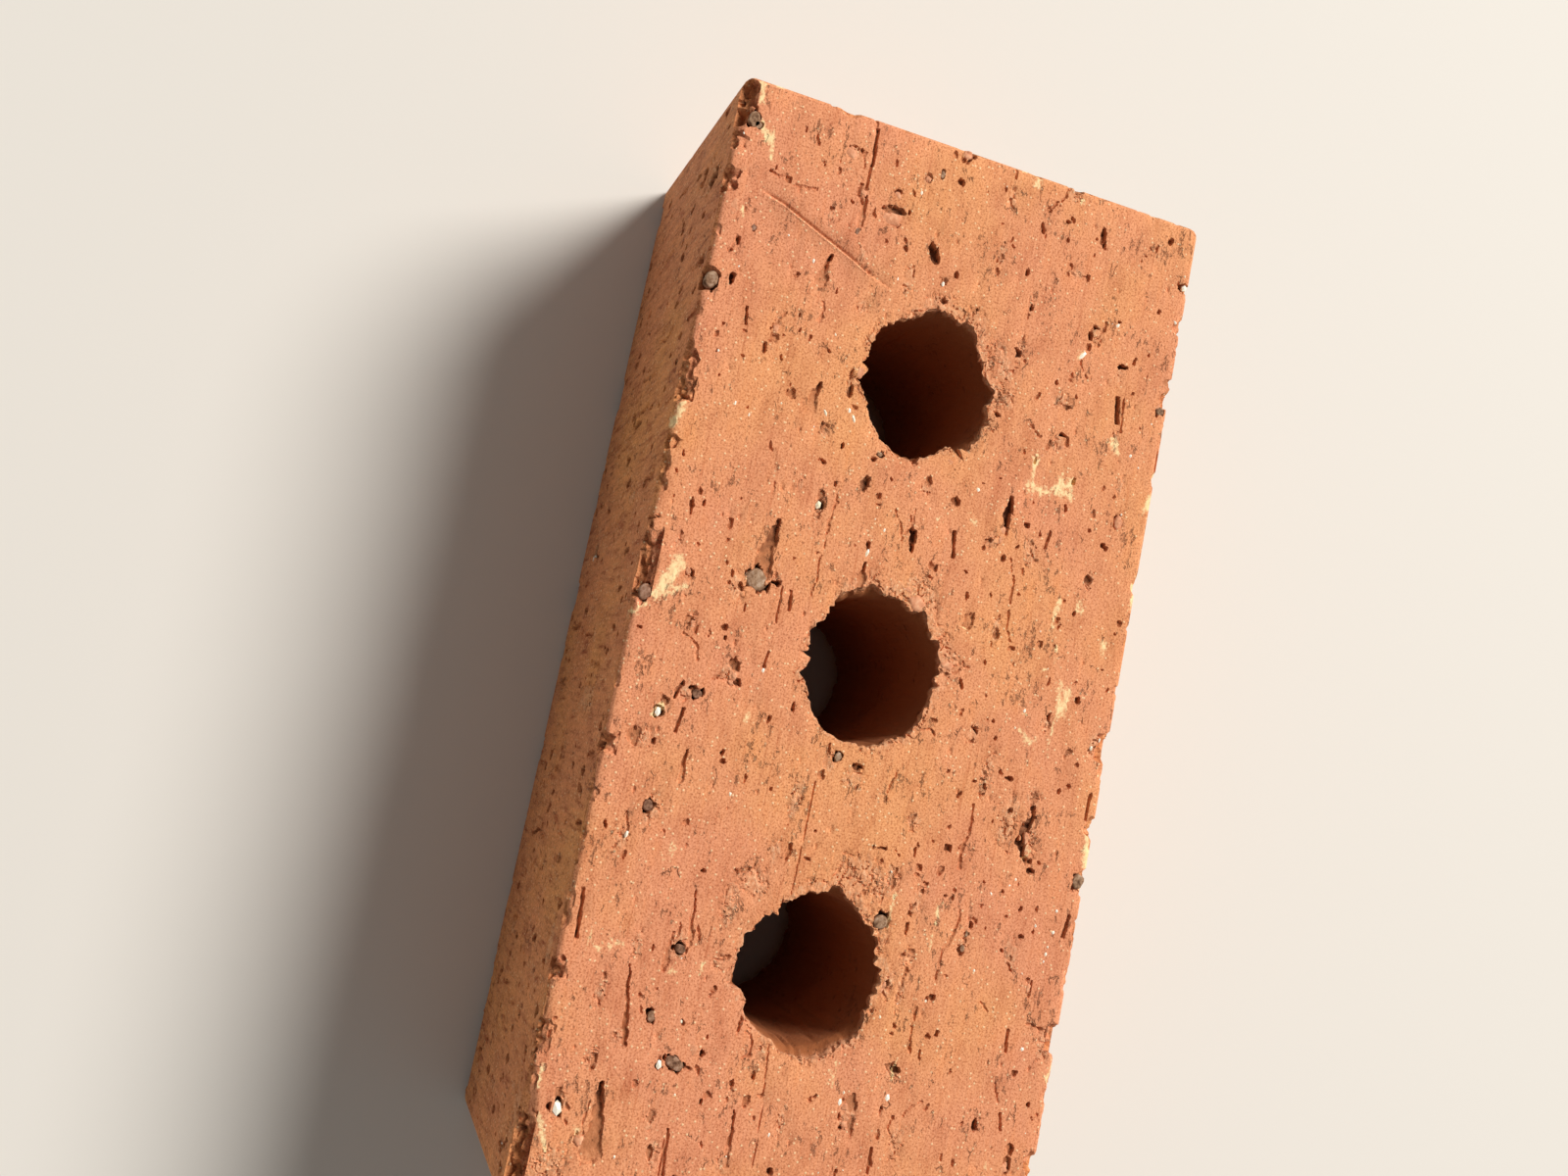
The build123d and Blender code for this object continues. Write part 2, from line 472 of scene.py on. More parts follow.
def drag(flat, rag, x0, y0, x1, y1, wide, hold=0.15):
    """A groove that starts narrow and deep and ends wide. hold is the depth left at its end."""
    share, side, past = along_line(flat, (x0, y0), (x1, y1))
    half = wide / 2 * (0.2 + 0.9 * share)
    edge = np.hypot(side / half, past / np.minimum(half, 1.0))
    deep = full_depth(0.5 * wide, 1.15) * (1 - (1 - hold) * share)
    return deep * (1 - smooth_step(0.78, 1.12, edge + rag * 0.6))


def slot(flat, rag, x0, y0, x1, y1, wide):
    """A straight groove with sharp sides."""
    share, side, past = along_line(flat, (x0, y0), (x1, y1))
    edge = np.maximum(np.abs(side) / (wide / 2), np.abs(past) / 0.3)
    return np.clip(1.1 * wide, 0.2, 1.2) * (1 - smooth_step(0.5, 0.9, edge + rag * 0.5))


def crack(flat, rag, wide, *path):
    """A thin broken line through the points of a path."""
    gap = np.full(len(flat), off_line)
    for start, end in zip(path[:-1], path[1:]):
        _, side, past = along_line(flat, start, end)
        gap = np.minimum(gap, np.hypot(side, past))
    return np.clip(1.3 * wide, 0.2, 1.4) * (1 - smooth_step(0.4, 0.8, gap / wide + rag * 1.1))


print("the middle of a slot 1 mm wide is", slot(np.zeros((1, 2)), 0, -1, 0, 1, 0, 1.0)[0], "mm deep")

# %% Crumbles and the relief of torn clay
def crumble(flat, rag, x, y, long, wide, turn=0.0):
    """How torn the skin is: 1 in the middle of the zone and 0 outside it."""
    edge = oval(flat, x, y, long, wide, turn)
    return 1 - smooth_step(0.45, 1.1, edge + rag * 0.5)


def torn_relief(flat):
    """How deep torn clay is, in mm: uneven lumps with broken cracks between some of them."""
    bent = warped(warped(flat, 2.2, 0.9, 23), 0.7, 0.25, 25)
    gap, number = clods(bent, 2.3, 27)
    small_gap, _ = clods(bent, 1.1, 28)
    shown = smooth_step(-0.25, 0.35, bumps(flat, 2.0, 29))
    small_shown = smooth_step(0.0, 0.5, bumps(flat, 1.5, 30))
    crack_depth = 0.6 * shown * (1 - smooth_step(0.02, 0.26, gap))
    small_depth = 0.4 * small_shown * (1 - smooth_step(0.02, 0.22, small_gap))
    lumps = 0.12 + 0.12 * bumps(flat, 1.7, 33) + 0.1 * bumps(flat, 0.7, 34) + 0.18 * number**3
    return np.maximum(lumps + np.maximum(crack_depth, small_depth), 0)


print("torn clay, mm deep:", torn_relief(np.array([(0.0, 0.0), (1.0, 0.0), (2.0, 0.0)])).round(2))

# %% Pressing the marks of a face
torn_shade_share = 0.22  # the relief of torn clay gets this share of the painted shade that another mark's depth gets
entry_turn = 140.0  # degrees from +x, round a core, where the wire came in and tore most


def mark_box(shape_of, row):
    """The middle and the half size of the square that holds a mark."""
    if shape_of in (pit, pluck, crumble):
        return row[0], row[1], max(row[2:4]) * 0.75 + 1.2
    ends = np.array(row[1:]) if shape_of is crack else np.array(row[:4]).reshape(2, 2)
    wide = row[0] if shape_of is crack else row[4]
    middle = (ends.min(0) + ends.max(0)) / 2
    return middle[0], middle[1], np.ptp(ends, axis=0).max() / 2 + wide + 1.4


def press(name, marks):
    """Presses marks into a face. marks is a list of (shape, rows)."""
    axis, side, flat_axes, streaks = boards[name]
    near = np.nonzero(depths[name] < press_reach)[0]
    flat = points[np.ix_(near, flat_axes)]
    drawn_out = flat * [0.5 if flat_axis == streaks else 1.3 for flat_axis in flat_axes]
    rag = 0.42 * bumps(drawn_out, 1.1, 21) + 0.3 * bumps(drawn_out, 0.5, 22)
    uneven = warped(warped(flat, 1.5, 0.3, 37), 0.6, 0.16, 39)
    floor = 1 + 0.3 * bumps(flat, 0.8, 41)
    sunk = np.zeros(len(near))
    tear = np.zeros(len(near))
    count = 0
    for shape_of, rows in marks:
        for row in rows:
            x, y, reach = mark_box(shape_of, row)
            here = np.nonzero((np.abs(flat[:, 0] - x) < reach) & (np.abs(flat[:, 1] - y) < reach))[0]
            lines = flat if shape_of is slot else uneven
            made = shape_of(lines[here], rag[here], *row)
            if shape_of is crumble:
                tear[here] = np.maximum(tear[here], made)
            else:
                sunk[here] = np.maximum(sunk[here], made * floor[here])
            count += 1
    if name.endswith("bed"):
        tear = np.maximum(tear, rim_tear(flat, rim_gap[near]))
    hold = 1 - smooth_step(full_press, press_reach, depths[name][near])
    # The depth kept in hollow is what the material paints shade by.
    hollow[near] = np.maximum(hollow[near], sunk * hold)
    rough = np.nonzero(tear > 0.02)[0]
    relief = tear[rough] * torn_relief(flat[rough])
    sunk[rough] = np.maximum(sunk[rough], relief)
    points[near, axis] -= side * sunk * hold
    shown_depth = torn_shade_share * relief * hold[rough]
    hollow[near[rough]] = np.maximum(hollow[near[rough]], shown_depth)
    torn[near] = np.maximum(torn[near], tear * hold)
    print(name, count, "marks, deepest", round(float(sunk.max()), 2), "mm")


def rim_tear(flat, gap):
    """The torn zone round the cores: wide where the wire came in, narrow where it left."""
    cores = np.array(list(rims))
    nearest = cores[np.abs(flat[:, :1] - cores).argmin(1)]
    angle = np.degrees(np.arctan2(flat[:, 1] - core_row, flat[:, 0] - nearest))
    entry = np.cos(np.radians(angle - entry_turn))
    band = 1.3 + 4.6 * smooth_step(0.0, 1.0, entry) + 1.3 * bumps(flat, 4.0, 35)
    edge = gap / np.maximum(band, 0.5) + 0.3 * bumps(flat, 1.4, 36)
    return 0.95 * (1 - smooth_step(0.2, 1.0, edge))


print("marks are felt down to", press_reach, "mm under a face")

# %% [markdown]
# The marks on the upper bed
# These are the marks that the photograph shows, read against a millimetre grid and written
# from the far left end to the near right end. Anything smaller than about half a millimetre is left
# to the streaks and to the material.

# %% Marks of the upper bed
bed_plucks = (
    # the far left quarter, in front of the cores
    (-110, -3.2, 3, 2.2), (-108.6, -4.3, 1.6, 1), (-103.9, -4, 1.8, 1.3), (-104, -8.2, 2.2, 0.9),
    (-109, -6.3, 2, 1.2), (-87.3, -6.9, 4.2, 2, 20), (-102.2, -11, 1.8, 1.7), (-98, -13.5, 1.7, 0.9, 30),
    (-87.9, -13.3, 1, 0.6), (-86.2, -13, 1.1, 0.7), (-93.3, -16.8, 2.2, 6.2, 8), (-97.3, -16.8, 1.4, 1.7),
    (-90.4, -16.2, 1, 2.2), (-86.5, -17.4, 1.7, 0.8), (-103.2, -18.7, 1.2, 0.6), (-84.3, -1, 1.7, 1),
    (-82, -3.6, 1.6, 1.4), (-91.5, -21.4, 2.4, 0.7, 18), (-92, -26.4, 1, 0.6), (-103.6, -27.8, 1.2, 2.6),
    (-97.5, -30.3, 2, 1), (-89.5, -30.2, 1.2, 1.2), (-98.3, -33.7, 1.6, 0.5), (-102.4, -36, 1.9, 0.7, 15),
    (-103.8, -38.7, 1, 0.5), (-110.8, -34, 0.8, 0.8), (-92.6, -40.4, 1.4, 1.4, -40), (-93, -44.3, 0.8, 1),
    (-80.9, -45.2, 2, 1, 20), (-77, -47.7, 2, 0.8, -15), (-74.9, -49, 0.9, 1.2), (-50, -30.4, 3.2, 1.3, 20),
    (-50.4, -31, 1.4, 1.5), (-74, -34.6, 1.4, 0.9, -45), (-60.4, -36.1, 2.5, 2.2), (-57.6, -37.9, 1.8, 0.9),
    (-55, -41.9, 0.5, 1.1), (-50, -45.7, 0.9, 0.6), (-45, -39, 0.7, 0.6), (-60.1, -47, 0.9, 0.6),
    (-54.6, -47.1, 0.9, 0.8), (-57.8, -48, 1, 0.7), (-63.4, -31.5, 0.7, 0.5), (-66.3, -32, 0.7, 0.5),
    (-56.4, -34.1, 1.6, 0.4), (-62.2, -29.2, 1.7, 0.5), (-73, -25.8, 0.8, 0.4), (-60.6, -24.7, 0.6, 0.6),
    (-54.4, -18.8, 2.8, 1.2), (-57.5, -19.2, 3.2, 0.7), (-51, -17.4, 1, 1.3), (-45.2, -22.8, 1.6, 1.5),
    (-42.5, -17.8, 1.6, 1.3), (-41.5, -11, 1.4, 0.9), (-78.3, -2.8, 1.2, 2, -30), (-59.8, -42.8, 0.7, 0.6),
    (-94, -43, 1, 0.4, -20),
    # between the far and the middle core, in front
    (-38.6, -21.5, 1.8, 1, 25), (-38.4, -32.2, 2.6, 1, 28), (-34.7, -8.4, 1.3, 0.8, 40),
    (-32.9, -7.9, 0.8, 0.9), (-38.6, -6.3, 0.9, 1), (-36.8, -11.7, 2.4, 1.5), (-27.9, 0.6, 4.6, 1.9),
    (-32, -0.6, 2.6, 0.5), (-40.4, 1.8, 2.6, 1.7), (-37.9, 8.1, 1.9, 2), (-23.7, -11.2, 0.7, 0.5),
    (-34.8, -18, 1.2, 0.7), (-31.8, -20.3, 2.6, 1.2), (-27.3, -19.9, 1.2, 1.1), (-20.6, -18.7, 0.9, 0.5),
    (-18.1, -23.2, 0.6, 0.5), (-10.2, -32.4, 2.6, 1, 10), (-6.6, -30.9, 2.6, 0.6), (-12.5, -35, 1.3, 0.5),
    (-10.4, -35.2, 1.2, 1), (-22, -37.5, 2.6, 1.2, 18), (-18.4, -37, 0.9, 0.5), (-27.1, -36.3, 0.6, 0.4),
    (-14.4, -36.4, 0.9, 0.5), (0.2, -33.6, 1.2, 0.9), (-1.9, -34.2, 1.2, 1.5), (5, -30.6, 2.8, 1.9, 30),
    (7.9, -29.6, 1.7, 1.8), (7.8, -33.6, 2.6, 0.6, -35), (0, -37.2, 1.4, 0.6), (-1.4, -41.2, 3.2, 1.4, 25),
    (-0.2, -39.8, 1.8, 0.7), (11, -37.4, 1.2, 1.9), (14.4, -42.8, 1.8, 1.6, -45), (22, -47.2, 4, 3),
    (-26.6, -44.5, 1.7, 1.1), (-23.2, -45.6, 3.3, 0.7, 10), (-17.4, -46.5, 1.2, 0.6),
    (-15.9, -46.6, 1.1, 0.5), (-16.5, -42.7, 0.8, 0.6), (-10.6, -42.8, 1.6, 1, 35), (-33, -49.5, 1.6, 0.4),
    (-24.3, -49.5, 0.9, 0.5), (-29.3, -50.2, 0.8, 0.5), (1.8, -50.7, 0.8, 1.2), (5.5, -49.5, 0.9, 0.4),
    (22.5, -8.6, 1.3, 1.4), (33.2, -7.6, 0.6, 0.7), (19.5, -1.5, 1.4, 2.4), (23.6, -29, 0.8, 1.6, -30),
    (22, -29.6, 1.2, 0.8), (26, -23.8, 1.8, 0.5), (14, -21.6, 1.2, 0.4), (5.2, -17.2, 0.6, 0.5),
    (10.5, -17.3, 1.8, 0.7), (27.3, -18.6, 0.8, 0.5),
    # from the middle core to the near end, in front
    (38.3, -12.2, 3.1, 1.2), (38.8, -8, 0.7, 1.7), (36.5, -33.9, 1.3, 1), (34.4, -40.6, 1.6, 1.2),
    (38.7, -37.8, 0.9, 0.6), (39.5, -48.9, 1.6, 0.6), (44.6, -44.4, 1.5, 0.9), (45, -28.4, 0.6, 0.9),
    (43.1, -20.2, 0.9, 2.8, 12), (43.7, -22, 0.8, 1.2, -30), (57, -26.7, 3.4, 0.9, 18),
    (60, -29.2, 2.5, 2.4), (56.8, -30.9, 3, 0.5), (63, -31.9, 2.6, 0.7, -18), (60.4, -35, 1.1, 0.5),
    (68, -32.8, 0.7, 0.5), (60, -21, 0.8, 2.8), (61.5, -22.2, 1.2, 1), (67, -21.8, 3, 0.7, -15),
    (78.5, -21.4, 1.6, 1.4), (81.6, -21.5, 2.6, 0.9, 20), (81.3, -23.6, 1.2, 2.2),
    (81, -26.4, 2.4, 3.4, -25), (81.2, -29.5, 3.2, 0.9), (72, -32.7, 1, 1.6), (85.6, -33.3, 1.6, 1.2, -20),
    (86, -18.8, 1.4, 2), (87.2, -19.4, 2, 0.8), (86, -10.8, 2.3, 1.2), (84.5, -8.1, 1, 1.4),
    (88.9, -8.6, 1, 0.9), (80.9, -10.6, 1.9, 0.8), (69.4, -35.6, 1.9, 0.8, 55), (72, -34.8, 1.6, 0.4),
    (66.9, -43.2, 2, 0.7), (72, -43, 2.4, 0.6, 20), (82.6, -41.4, 2.8, 0.9, -10), (82.8, -43.3, 0.6, 1),
    (76, -50.6, 1, 0.8), (79, -51.2, 1.6, 0.9), (77.3, -39, 1.5, 1.3), (91.2, -44.6, 1.7, 0.8, 35),
    (94, -44.4, 1.4, 0.6), (89.2, -47, 2.4, 1.6), (91.9, -48.2, 2.2, 1.1), (91.2, -28.6, 2, 1.4),
    (98.5, -3.2, 1.3, 1.6, 60), (97.8, -27.2, 2.8, 1.1, 10), (95, -18, 1.2, 0.5), (83, -14.2, 1.6, 0.9),
    (75.3, -21, 0.6, 0.4), (73, -26.4, 1.2, 0.6), (72.3, -15.1, 3, 0.6, 4), (104, -33, 1.8, 0.8),
    (106, -18.5, 1.2, 0.9), (103, -9, 2, 0.7), (107.5, -41, 1.6, 1), (104.5, 3, 1, 1),
    # the far left quarter, behind the cores
    (-106.2, 46.4, 1.4, 1.3), (-104, 43.5, 2.2, 0.5), (-89.9, 46.4, 1.4, 0.7, -35),
    (-80, 45.9, 1.2, 0.6, -30), (-103.4, 42, 0.8, 0.4), (-101.3, 41, 0.6, 0.5), (-63.7, 47, 0.6, 0.7),
    (-70.7, 43.9, 1, 0.8), (-77.5, 42.7, 2, 0.8, -22), (-47.7, 43.6, 1, 0.6), (-49, 41.1, 1.2, 0.6),
    (-42.7, 46, 3.6, 2.6, 10), (-43.2, 39.4, 2, 0.9), (-39.4, 39.7, 0.7, 0.5), (-77.6, 31.4, 1.5, 1.5, -30),
    (-82.3, 32.6, 0.7, 1.6), (-101.9, 30.5, 4.2, 1.7, 8), (-101.4, 29, 1, 0.8, -40),
    (-97.7, 29.2, 1.1, 0.6), (-92.5, 28.3, 1.2, 1), (-93.8, 24.3, 1.1, 0.9), (-92.2, 23.7, 0.9, 0.7),
    (-103.9, 22.6, 0.9, 1.2, -60), (-103.2, 21.5, 0.8, 1.3), (-99.1, 22.4, 0.8, 0.8),
    (-104, 17, 0.9, 1, -50), (-106, 19, 1, 0.4), (-100, 16.3, 2.6, 0.9, 12), (-98, 17.2, 1.6, 0.4),
    (-109.2, 8, 3, 0.8, -10), (-93.9, 10.3, 1.1, 0.6), (-95.3, 9.7, 1.2, 0.4), (-105.3, 5.9, 0.7, 0.4),
    (-97.9, 6.6, 0.7, 0.6), (-91.2, 8.2, 1.2, 1), (-93.8, 7.6, 1.6, 0.6), (-90.2, 7.4, 1.4, 0.7),
    (-87.6, 7.7, 1.3, 1.3), (-89.2, 14.5, 1.7, 0.7), (-82.3, 16.9, 1.8, 0.9, -15), (-80.7, 16.5, 1.2, 0.5),
    (-84.8, 17, 1.2, 0.4), (-74.8, 16.5, 2.6, 0.5), (-72.2, 16, 1.9, 1.5), (-70.8, 17.8, 1, 0.7),
    (-68.2, 25.6, 1.5, 0.7), (-69.4, 28.9, 0.7, 0.6), (-70.8, 29, 1, 0.4), (-64.4, 22.2, 1.8, 0.7, -25),
    (-78.7, 33.9, 0.6, 0.6), (-55.8, 30.6, 3.6, 1.2, -6), (-54.8, 26.5, 2.4, 1, -20), (-50.7, 24.4, 2, 0.8),
    (-52, 21.2, 1.2, 0.5), (-48.4, 34, 1.8, 1.2), (-42.7, 33.1, 1.1, 0.4), (-42.2, 25.5, 1, 0.5),
    (-43.3, 13.6, 0.8, 0.8), (-66.3, 31, 0.8, 0.7), (-63.8, 28.9, 1, 2.4), (-85.3, 37.7, 0.6, 0.6),
    (-58, 13.8, 0.5, 2), (-45.2, 17.2, 0.6, 0.6), (-78.1, 4.7, 0.6, 0.8), (-110.3, 23, 1.6, 2),
    # behind the middle core
    (-34.5, 21, 3, 1), (-31.4, 17, 1.2, 2.6), (-29.7, 16.2, 1.3, 1.3), (-14.4, 16.2, 3.6, 1.9, -14),
    (-19, 15, 2, 1), (-23.6, 6.2, 1.4, 2.2, -20), (-21.3, 5.7, 0.5, 1.6, -25), (-36.9, 43.4, 1.2, 2, -35),
    (-29, 41.2, 2.4, 1.6), (-21.3, 50.2, 1.8, 1), (-18.9, 49.8, 1, 0.5), (-11.2, 47.8, 0.6, 0.5),
    (-7.3, 50.2, 1.8, 0.5), (-3.6, 43.6, 2, 1.1, -25), (-7, 42.4, 1.6, 0.4, -45),
    (-21.4, 39.2, 1.6, 0.9, -20), (-19.3, 36.1, 1.4, 0.9, -35), (-18, 36.7, 1.4, 0.5, -30),
    (-23.4, 36.3, 1, 0.5, -40), (-13.4, 32.5, 1.1, 1), (-5.8, 36.3, 1.8, 0.5, -10), (-13.7, 36.5, 1, 0.3),
    (4.4, 37.6, 0.6, 1), (2.6, 38.2, 1, 0.5), (31, 41.5, 0.7, 0.6), (14.5, 45, 1, 0.9), (9.7, 46, 0.6, 0.6),
    (15.9, 43.4, 0.9, 1.1), (7.4, 43.9, 1, 1.2), (4, 18.3, 2, 0.7, -10), (-1.6, 16.9, 2.6, 0.8, 25),
    (7, 21.7, 2, 0.8, 42), (9.6, 21.4, 1.1, 1.2), (-0.1, 23, 1.2, 0.5, 20), (7.8, 26.8, 1.1, 0.6),
    (4.5, 25.8, 0.6, 0.7), (20.7, 21.3, 1.8, 0.7, -20), (-13.3, 22.9, 2.2, 1.2), (-10.8, 26.6, 1, 1.2),
    (-10.9, 22, 1.2, 0.6), (-6.8, 21.3, 1.1, 0.5), (-31.6, 23.9, 1.8, 0.5, -38), (-28.7, 21, 1.4, 1.2),
    (-36.8, 24.9, 0.8, 1.5, -30), (-35.5, 28.4, 1.7, 0.5, 15), (-33.3, 27, 1, 1), (-27.2, 26, 1.7, 0.7, 20),
    (-30.5, 26.5, 0.7, 0.7), (-22.2, 26.1, 0.6, 0.5), (-20.5, 20.1, 0.7, 0.4), (-24.2, 13.5, 0.5, 1.2, -15),
    (24.4, 6, 0.8, 0.4), (14.5, 29.3, 1.4, 0.4), (24.6, 29.3, 1, 0.4), (33.6, 14, 2.8, 0.6),
    (32, 14.1, 1, 0.7), (27.6, 12.2, 2, 0.8, -20), (31.6, 20.8, 1.5, 1.2), (27.4, 20.3, 1.4, 0.7),
    (31, 23.4, 0.9, 0.5), (30.9, 17.1, 0.5, 0.5), (18.2, 26.4, 1.6, 1, 0), (19.6, 26.3, 0.7, 0.6),
    (17.4, 23.9, 0.7, 0.5), (7, 12.6, 0.8, 1.6), (34.2, 6.5, 0.6, 3.6, 10), (34, 10, 1, 0.9),
    (36.7, 7.3, 0.8, 0.6), (15.3, 31.2, 1, 1.4), (16.8, 17.9, 1, 0.6),
    # behind the near core
    (56.3, 44.4, 3, 1.6), (54.6, 43.6, 1.4, 1.2), (57.5, 44.1, 0.7, 0.9), (40.9, 39.4, 1.5, 0.8),
    (46.5, 40.4, 1, 1), (51, 38.9, 1, 0.9), (52.8, 39, 2.2, 0.5, 40), (49.6, 36.9, 0.8, 1.8, -15),
    (42.9, 36.2, 1.2, 0.7), (41.6, 30.7, 0.7, 0.5), (45.9, 32.1, 0.8, 0.5), (38, 34.7, 0.6, 0.6),
    (37, 30, 0.5, 0.7), (40.4, 42.7, 1.4, 0.4), (45, 43.1, 0.8, 0.5), (73.3, 44.4, 1.4, 1.1, -40),
    (84.6, 34.7, 0.9, 0.5), (92.2, 34.3, 1.8, 0.6, 10), (91.5, 31.6, 1.7, 0.6), (79, 49, 1.2, 1.4),
    (81.6, 50.2, 1.6, 0.4), (80.8, 51.3, 1, 0.7), (88.3, 46.7, 2.2, 1.6, 25), (91.4, 46.2, 3.4, 2),
    (44.6, 29.4, 0.9, 1.6, -30), (47.8, 28.6, 1.2, 1), (51, 27.7, 2.4, 1.1), (52.2, 27.6, 1, 0.9),
    (75, 30.3, 1.1, 0.4), (64.8, 20.3, 1.9, 0.5), (71.4, 20.7, 2.6, 0.5, 10), (61.3, 23.2, 1.1, 2, 15),
    (62, 22.2, 1, 0.6), (68, 25.8, 1.6, 0.8, -35), (68.8, 23.9, 1.2, 1), (73, 23, 2.6, 0.4),
    (56.8, 25.3, 1.2, 0.6, -20), (55.8, 23.5, 1.2, 0.5, 10), (40, 24.2, 1.4, 0.8, -20),
    (41.4, 24, 1, 0.6, -20), (41, 22, 0.9, 0.8), (36.5, 20, 1.8, 1.1), (39.6, 17.4, 1, 1.1),
    (41.1, 17, 1.4, 1.5, -20), (43.8, 16, 2, 1.1, -12), (45.7, 15.4, 1.1, 0.8), (49, 15.3, 3.8, 0.6, -5),
    (53, 17.3, 1, 1.3), (54, 15.7, 0.7, 2, 20), (56.6, 16.9, 1.6, 0.8, -15), (60.4, 16.4, 1.7, 0.5, -10),
    (62.2, 15.9, 1.2, 0.7, -25), (67.7, 16.3, 1.6, 0.8, 15), (69.2, 16.3, 1, 1), (85.3, 19.8, 1, 0.7),
    (82.4, 26.5, 1.6, 0.7, -25), (76.2, 18.6, 1.6, 1.9), (75.4, 16.9, 0.7, 1.4), (88.9, 17.4, 2, 0.8, 8),
    (84, 17, 1.6, 0.8), (94.4, 16.9, 1.6, 0.9), (38, 15.3, 1, 0.9), (36.3, 15.5, 1, 1.3),
    (40.2, 10.6, 3.6, 1.2, -8), (38.2, 10.8, 1.4, 0.8), (42, 9.2, 2, 0.6, -20), (42.7, 6.6, 1.4, 1.4),
    (34.6, 10.5, 1, 1), (43.2, 4.5, 0.9, 1), (83.8, 10.6, 3.4, 2.6), (87.2, 11.3, 4, 1.2, 5),
    (88.3, 9.5, 0.9, 1.6), (86.3, 8.8, 2, 0.9), (83.4, 2.6, 1.6, 1, -15), (84.5, 2.1, 0.8, 0.8),
    (100, 20, 1.6, 0.7), (104.5, 29, 2.4, 1, 10), (102, 41, 1.4, 0.9), (107, 12, 1, 1.2),
    (98.5, 37.5, 1.1, 0.6), (105.5, 46.5, 1.8, 0.9),
)
bed_pits = (
    # the few deep ones
    (-80.2, 31.4, 2.2, 1.4, -20), (-57.6, 29.5, 0.9, 1.7), (-38, 20.5, 7.6, 1.9), (21.8, 32.8, 1.7, 1.1),
    (-43, -10, 1.2, 1.5), (-24.6, -43.6, 1.2, 0.8), (84.8, 37.8, 2.6, 1.3), (33, 40, 1.5, 1.5),
    (12.6, -40.9, 4.2, 1, -15), (1.2, 37.7, 1.8, 1), (22.7, -43.5, 1.6, 0.8, -25), (45.8, 28.9, 1.4, 1),
    (-24.3, -8.4, 1.9, 0.9, 15), (-75.8, 39.9, 0.9, 2.2), (74.8, 2.2, 0.9, 0.7), (-12.5, -25.6, 1.6, 2),
    (-69.6, -47.1, 3.2, 1.5, -12), (60.2, 13.4, 2.4, 1, -15),
)
bed_drags = (
    # start x and y, end x and y, width at the end, and the share of the depth left at the end
    (-80, -28.4, -71.6, -29.9, 3), (-53.9, -25, -48.2, -26.9, 2.8), (-24.6, -27.9, -13.4, -29.2, 4.4, 0.6),
    (-21, -8.5, -15.5, -8.3, 1.8, 0.5), (22.6, -36.6, 28.4, -36.5, 1.5, 0.5),
    (48.5, -28.8, 59, -28.2, 0.9, 0.5), (64, -38.7, 78.6, -36.6, 1.1, 0.9),
    (86.4, -39.2, 100, -38.6, 3.9, 0.5), (100, 30, 103, 30.2, 1), (-94.5, -23.4, -88.3, -23.9, 1.5, 0.4),
    (16, -8.3, 20.5, -8, 1.2, 0.4), (88, -12.6, 98.4, -12.3, 1.2, 0.5), (-32.4, -30, -29.8, -30, 0.6),
    (36, 2, 38, 2.6, 1), (96, 10, 101, 9.6, 1.2), (101, -22, 107, -22.4, 1.4, 0.4),
)
bed_slots = (
    (-108.6, -24, -101, -23.6, 0.9), (-101, -23.9, -94.4, -24, 0.6), (-69, 40.5, -63.4, 41.3, 1.3),
    (-69, 42, -61.8, 42.6, 0.4), (-64.6, -43.1, -61.3, -42.7, 0.7), (-11.7, -22.4, -7.9, -22.1, 0.7),
    (-12, -24.4, -5, -24.3, 0.5), (1, -24.5, 4.2, -24.8, 0.6), (15.4, -38.8, 20, -39.5, 0.8),
    (-31.6, 9.3, -26.4, 10, 1), (-36.8, 30.6, -33.1, 30, 0.7), (65.2, 41.3, 69.5, 41.6, 0.8),
    (81.5, 42.8, 84.8, 43.5, 0.6), (91.7, 16.6, 96.4, 16.7, 0.6), (-60, 52.2, -51.5, 52.5, 0.5),
    (40.4, 50.6, 45, 49.9, 1), (15, 50.5, 20.5, 50.3, 0.7), (52, -50.4, 61, -49.8, 0.9),
    (93, -24.8, 101.5, -24.2, 0.6), (95, -25.2, 101.4, -25, 0.4), (75, -8.5, 84.8, -7.6, 0.35),
    (85, -7.4, 98, -6.9, 0.3), (24, -9.8, 35.4, -9.7, 0.35), (34, -9.8, 44, -9.9, 0.3),
    (70, -37.9, 77, -37, 0.6), (39, -9.9, 46, -10.1, 0.3), (104, -30, 110, -30.4, 0.6),
)
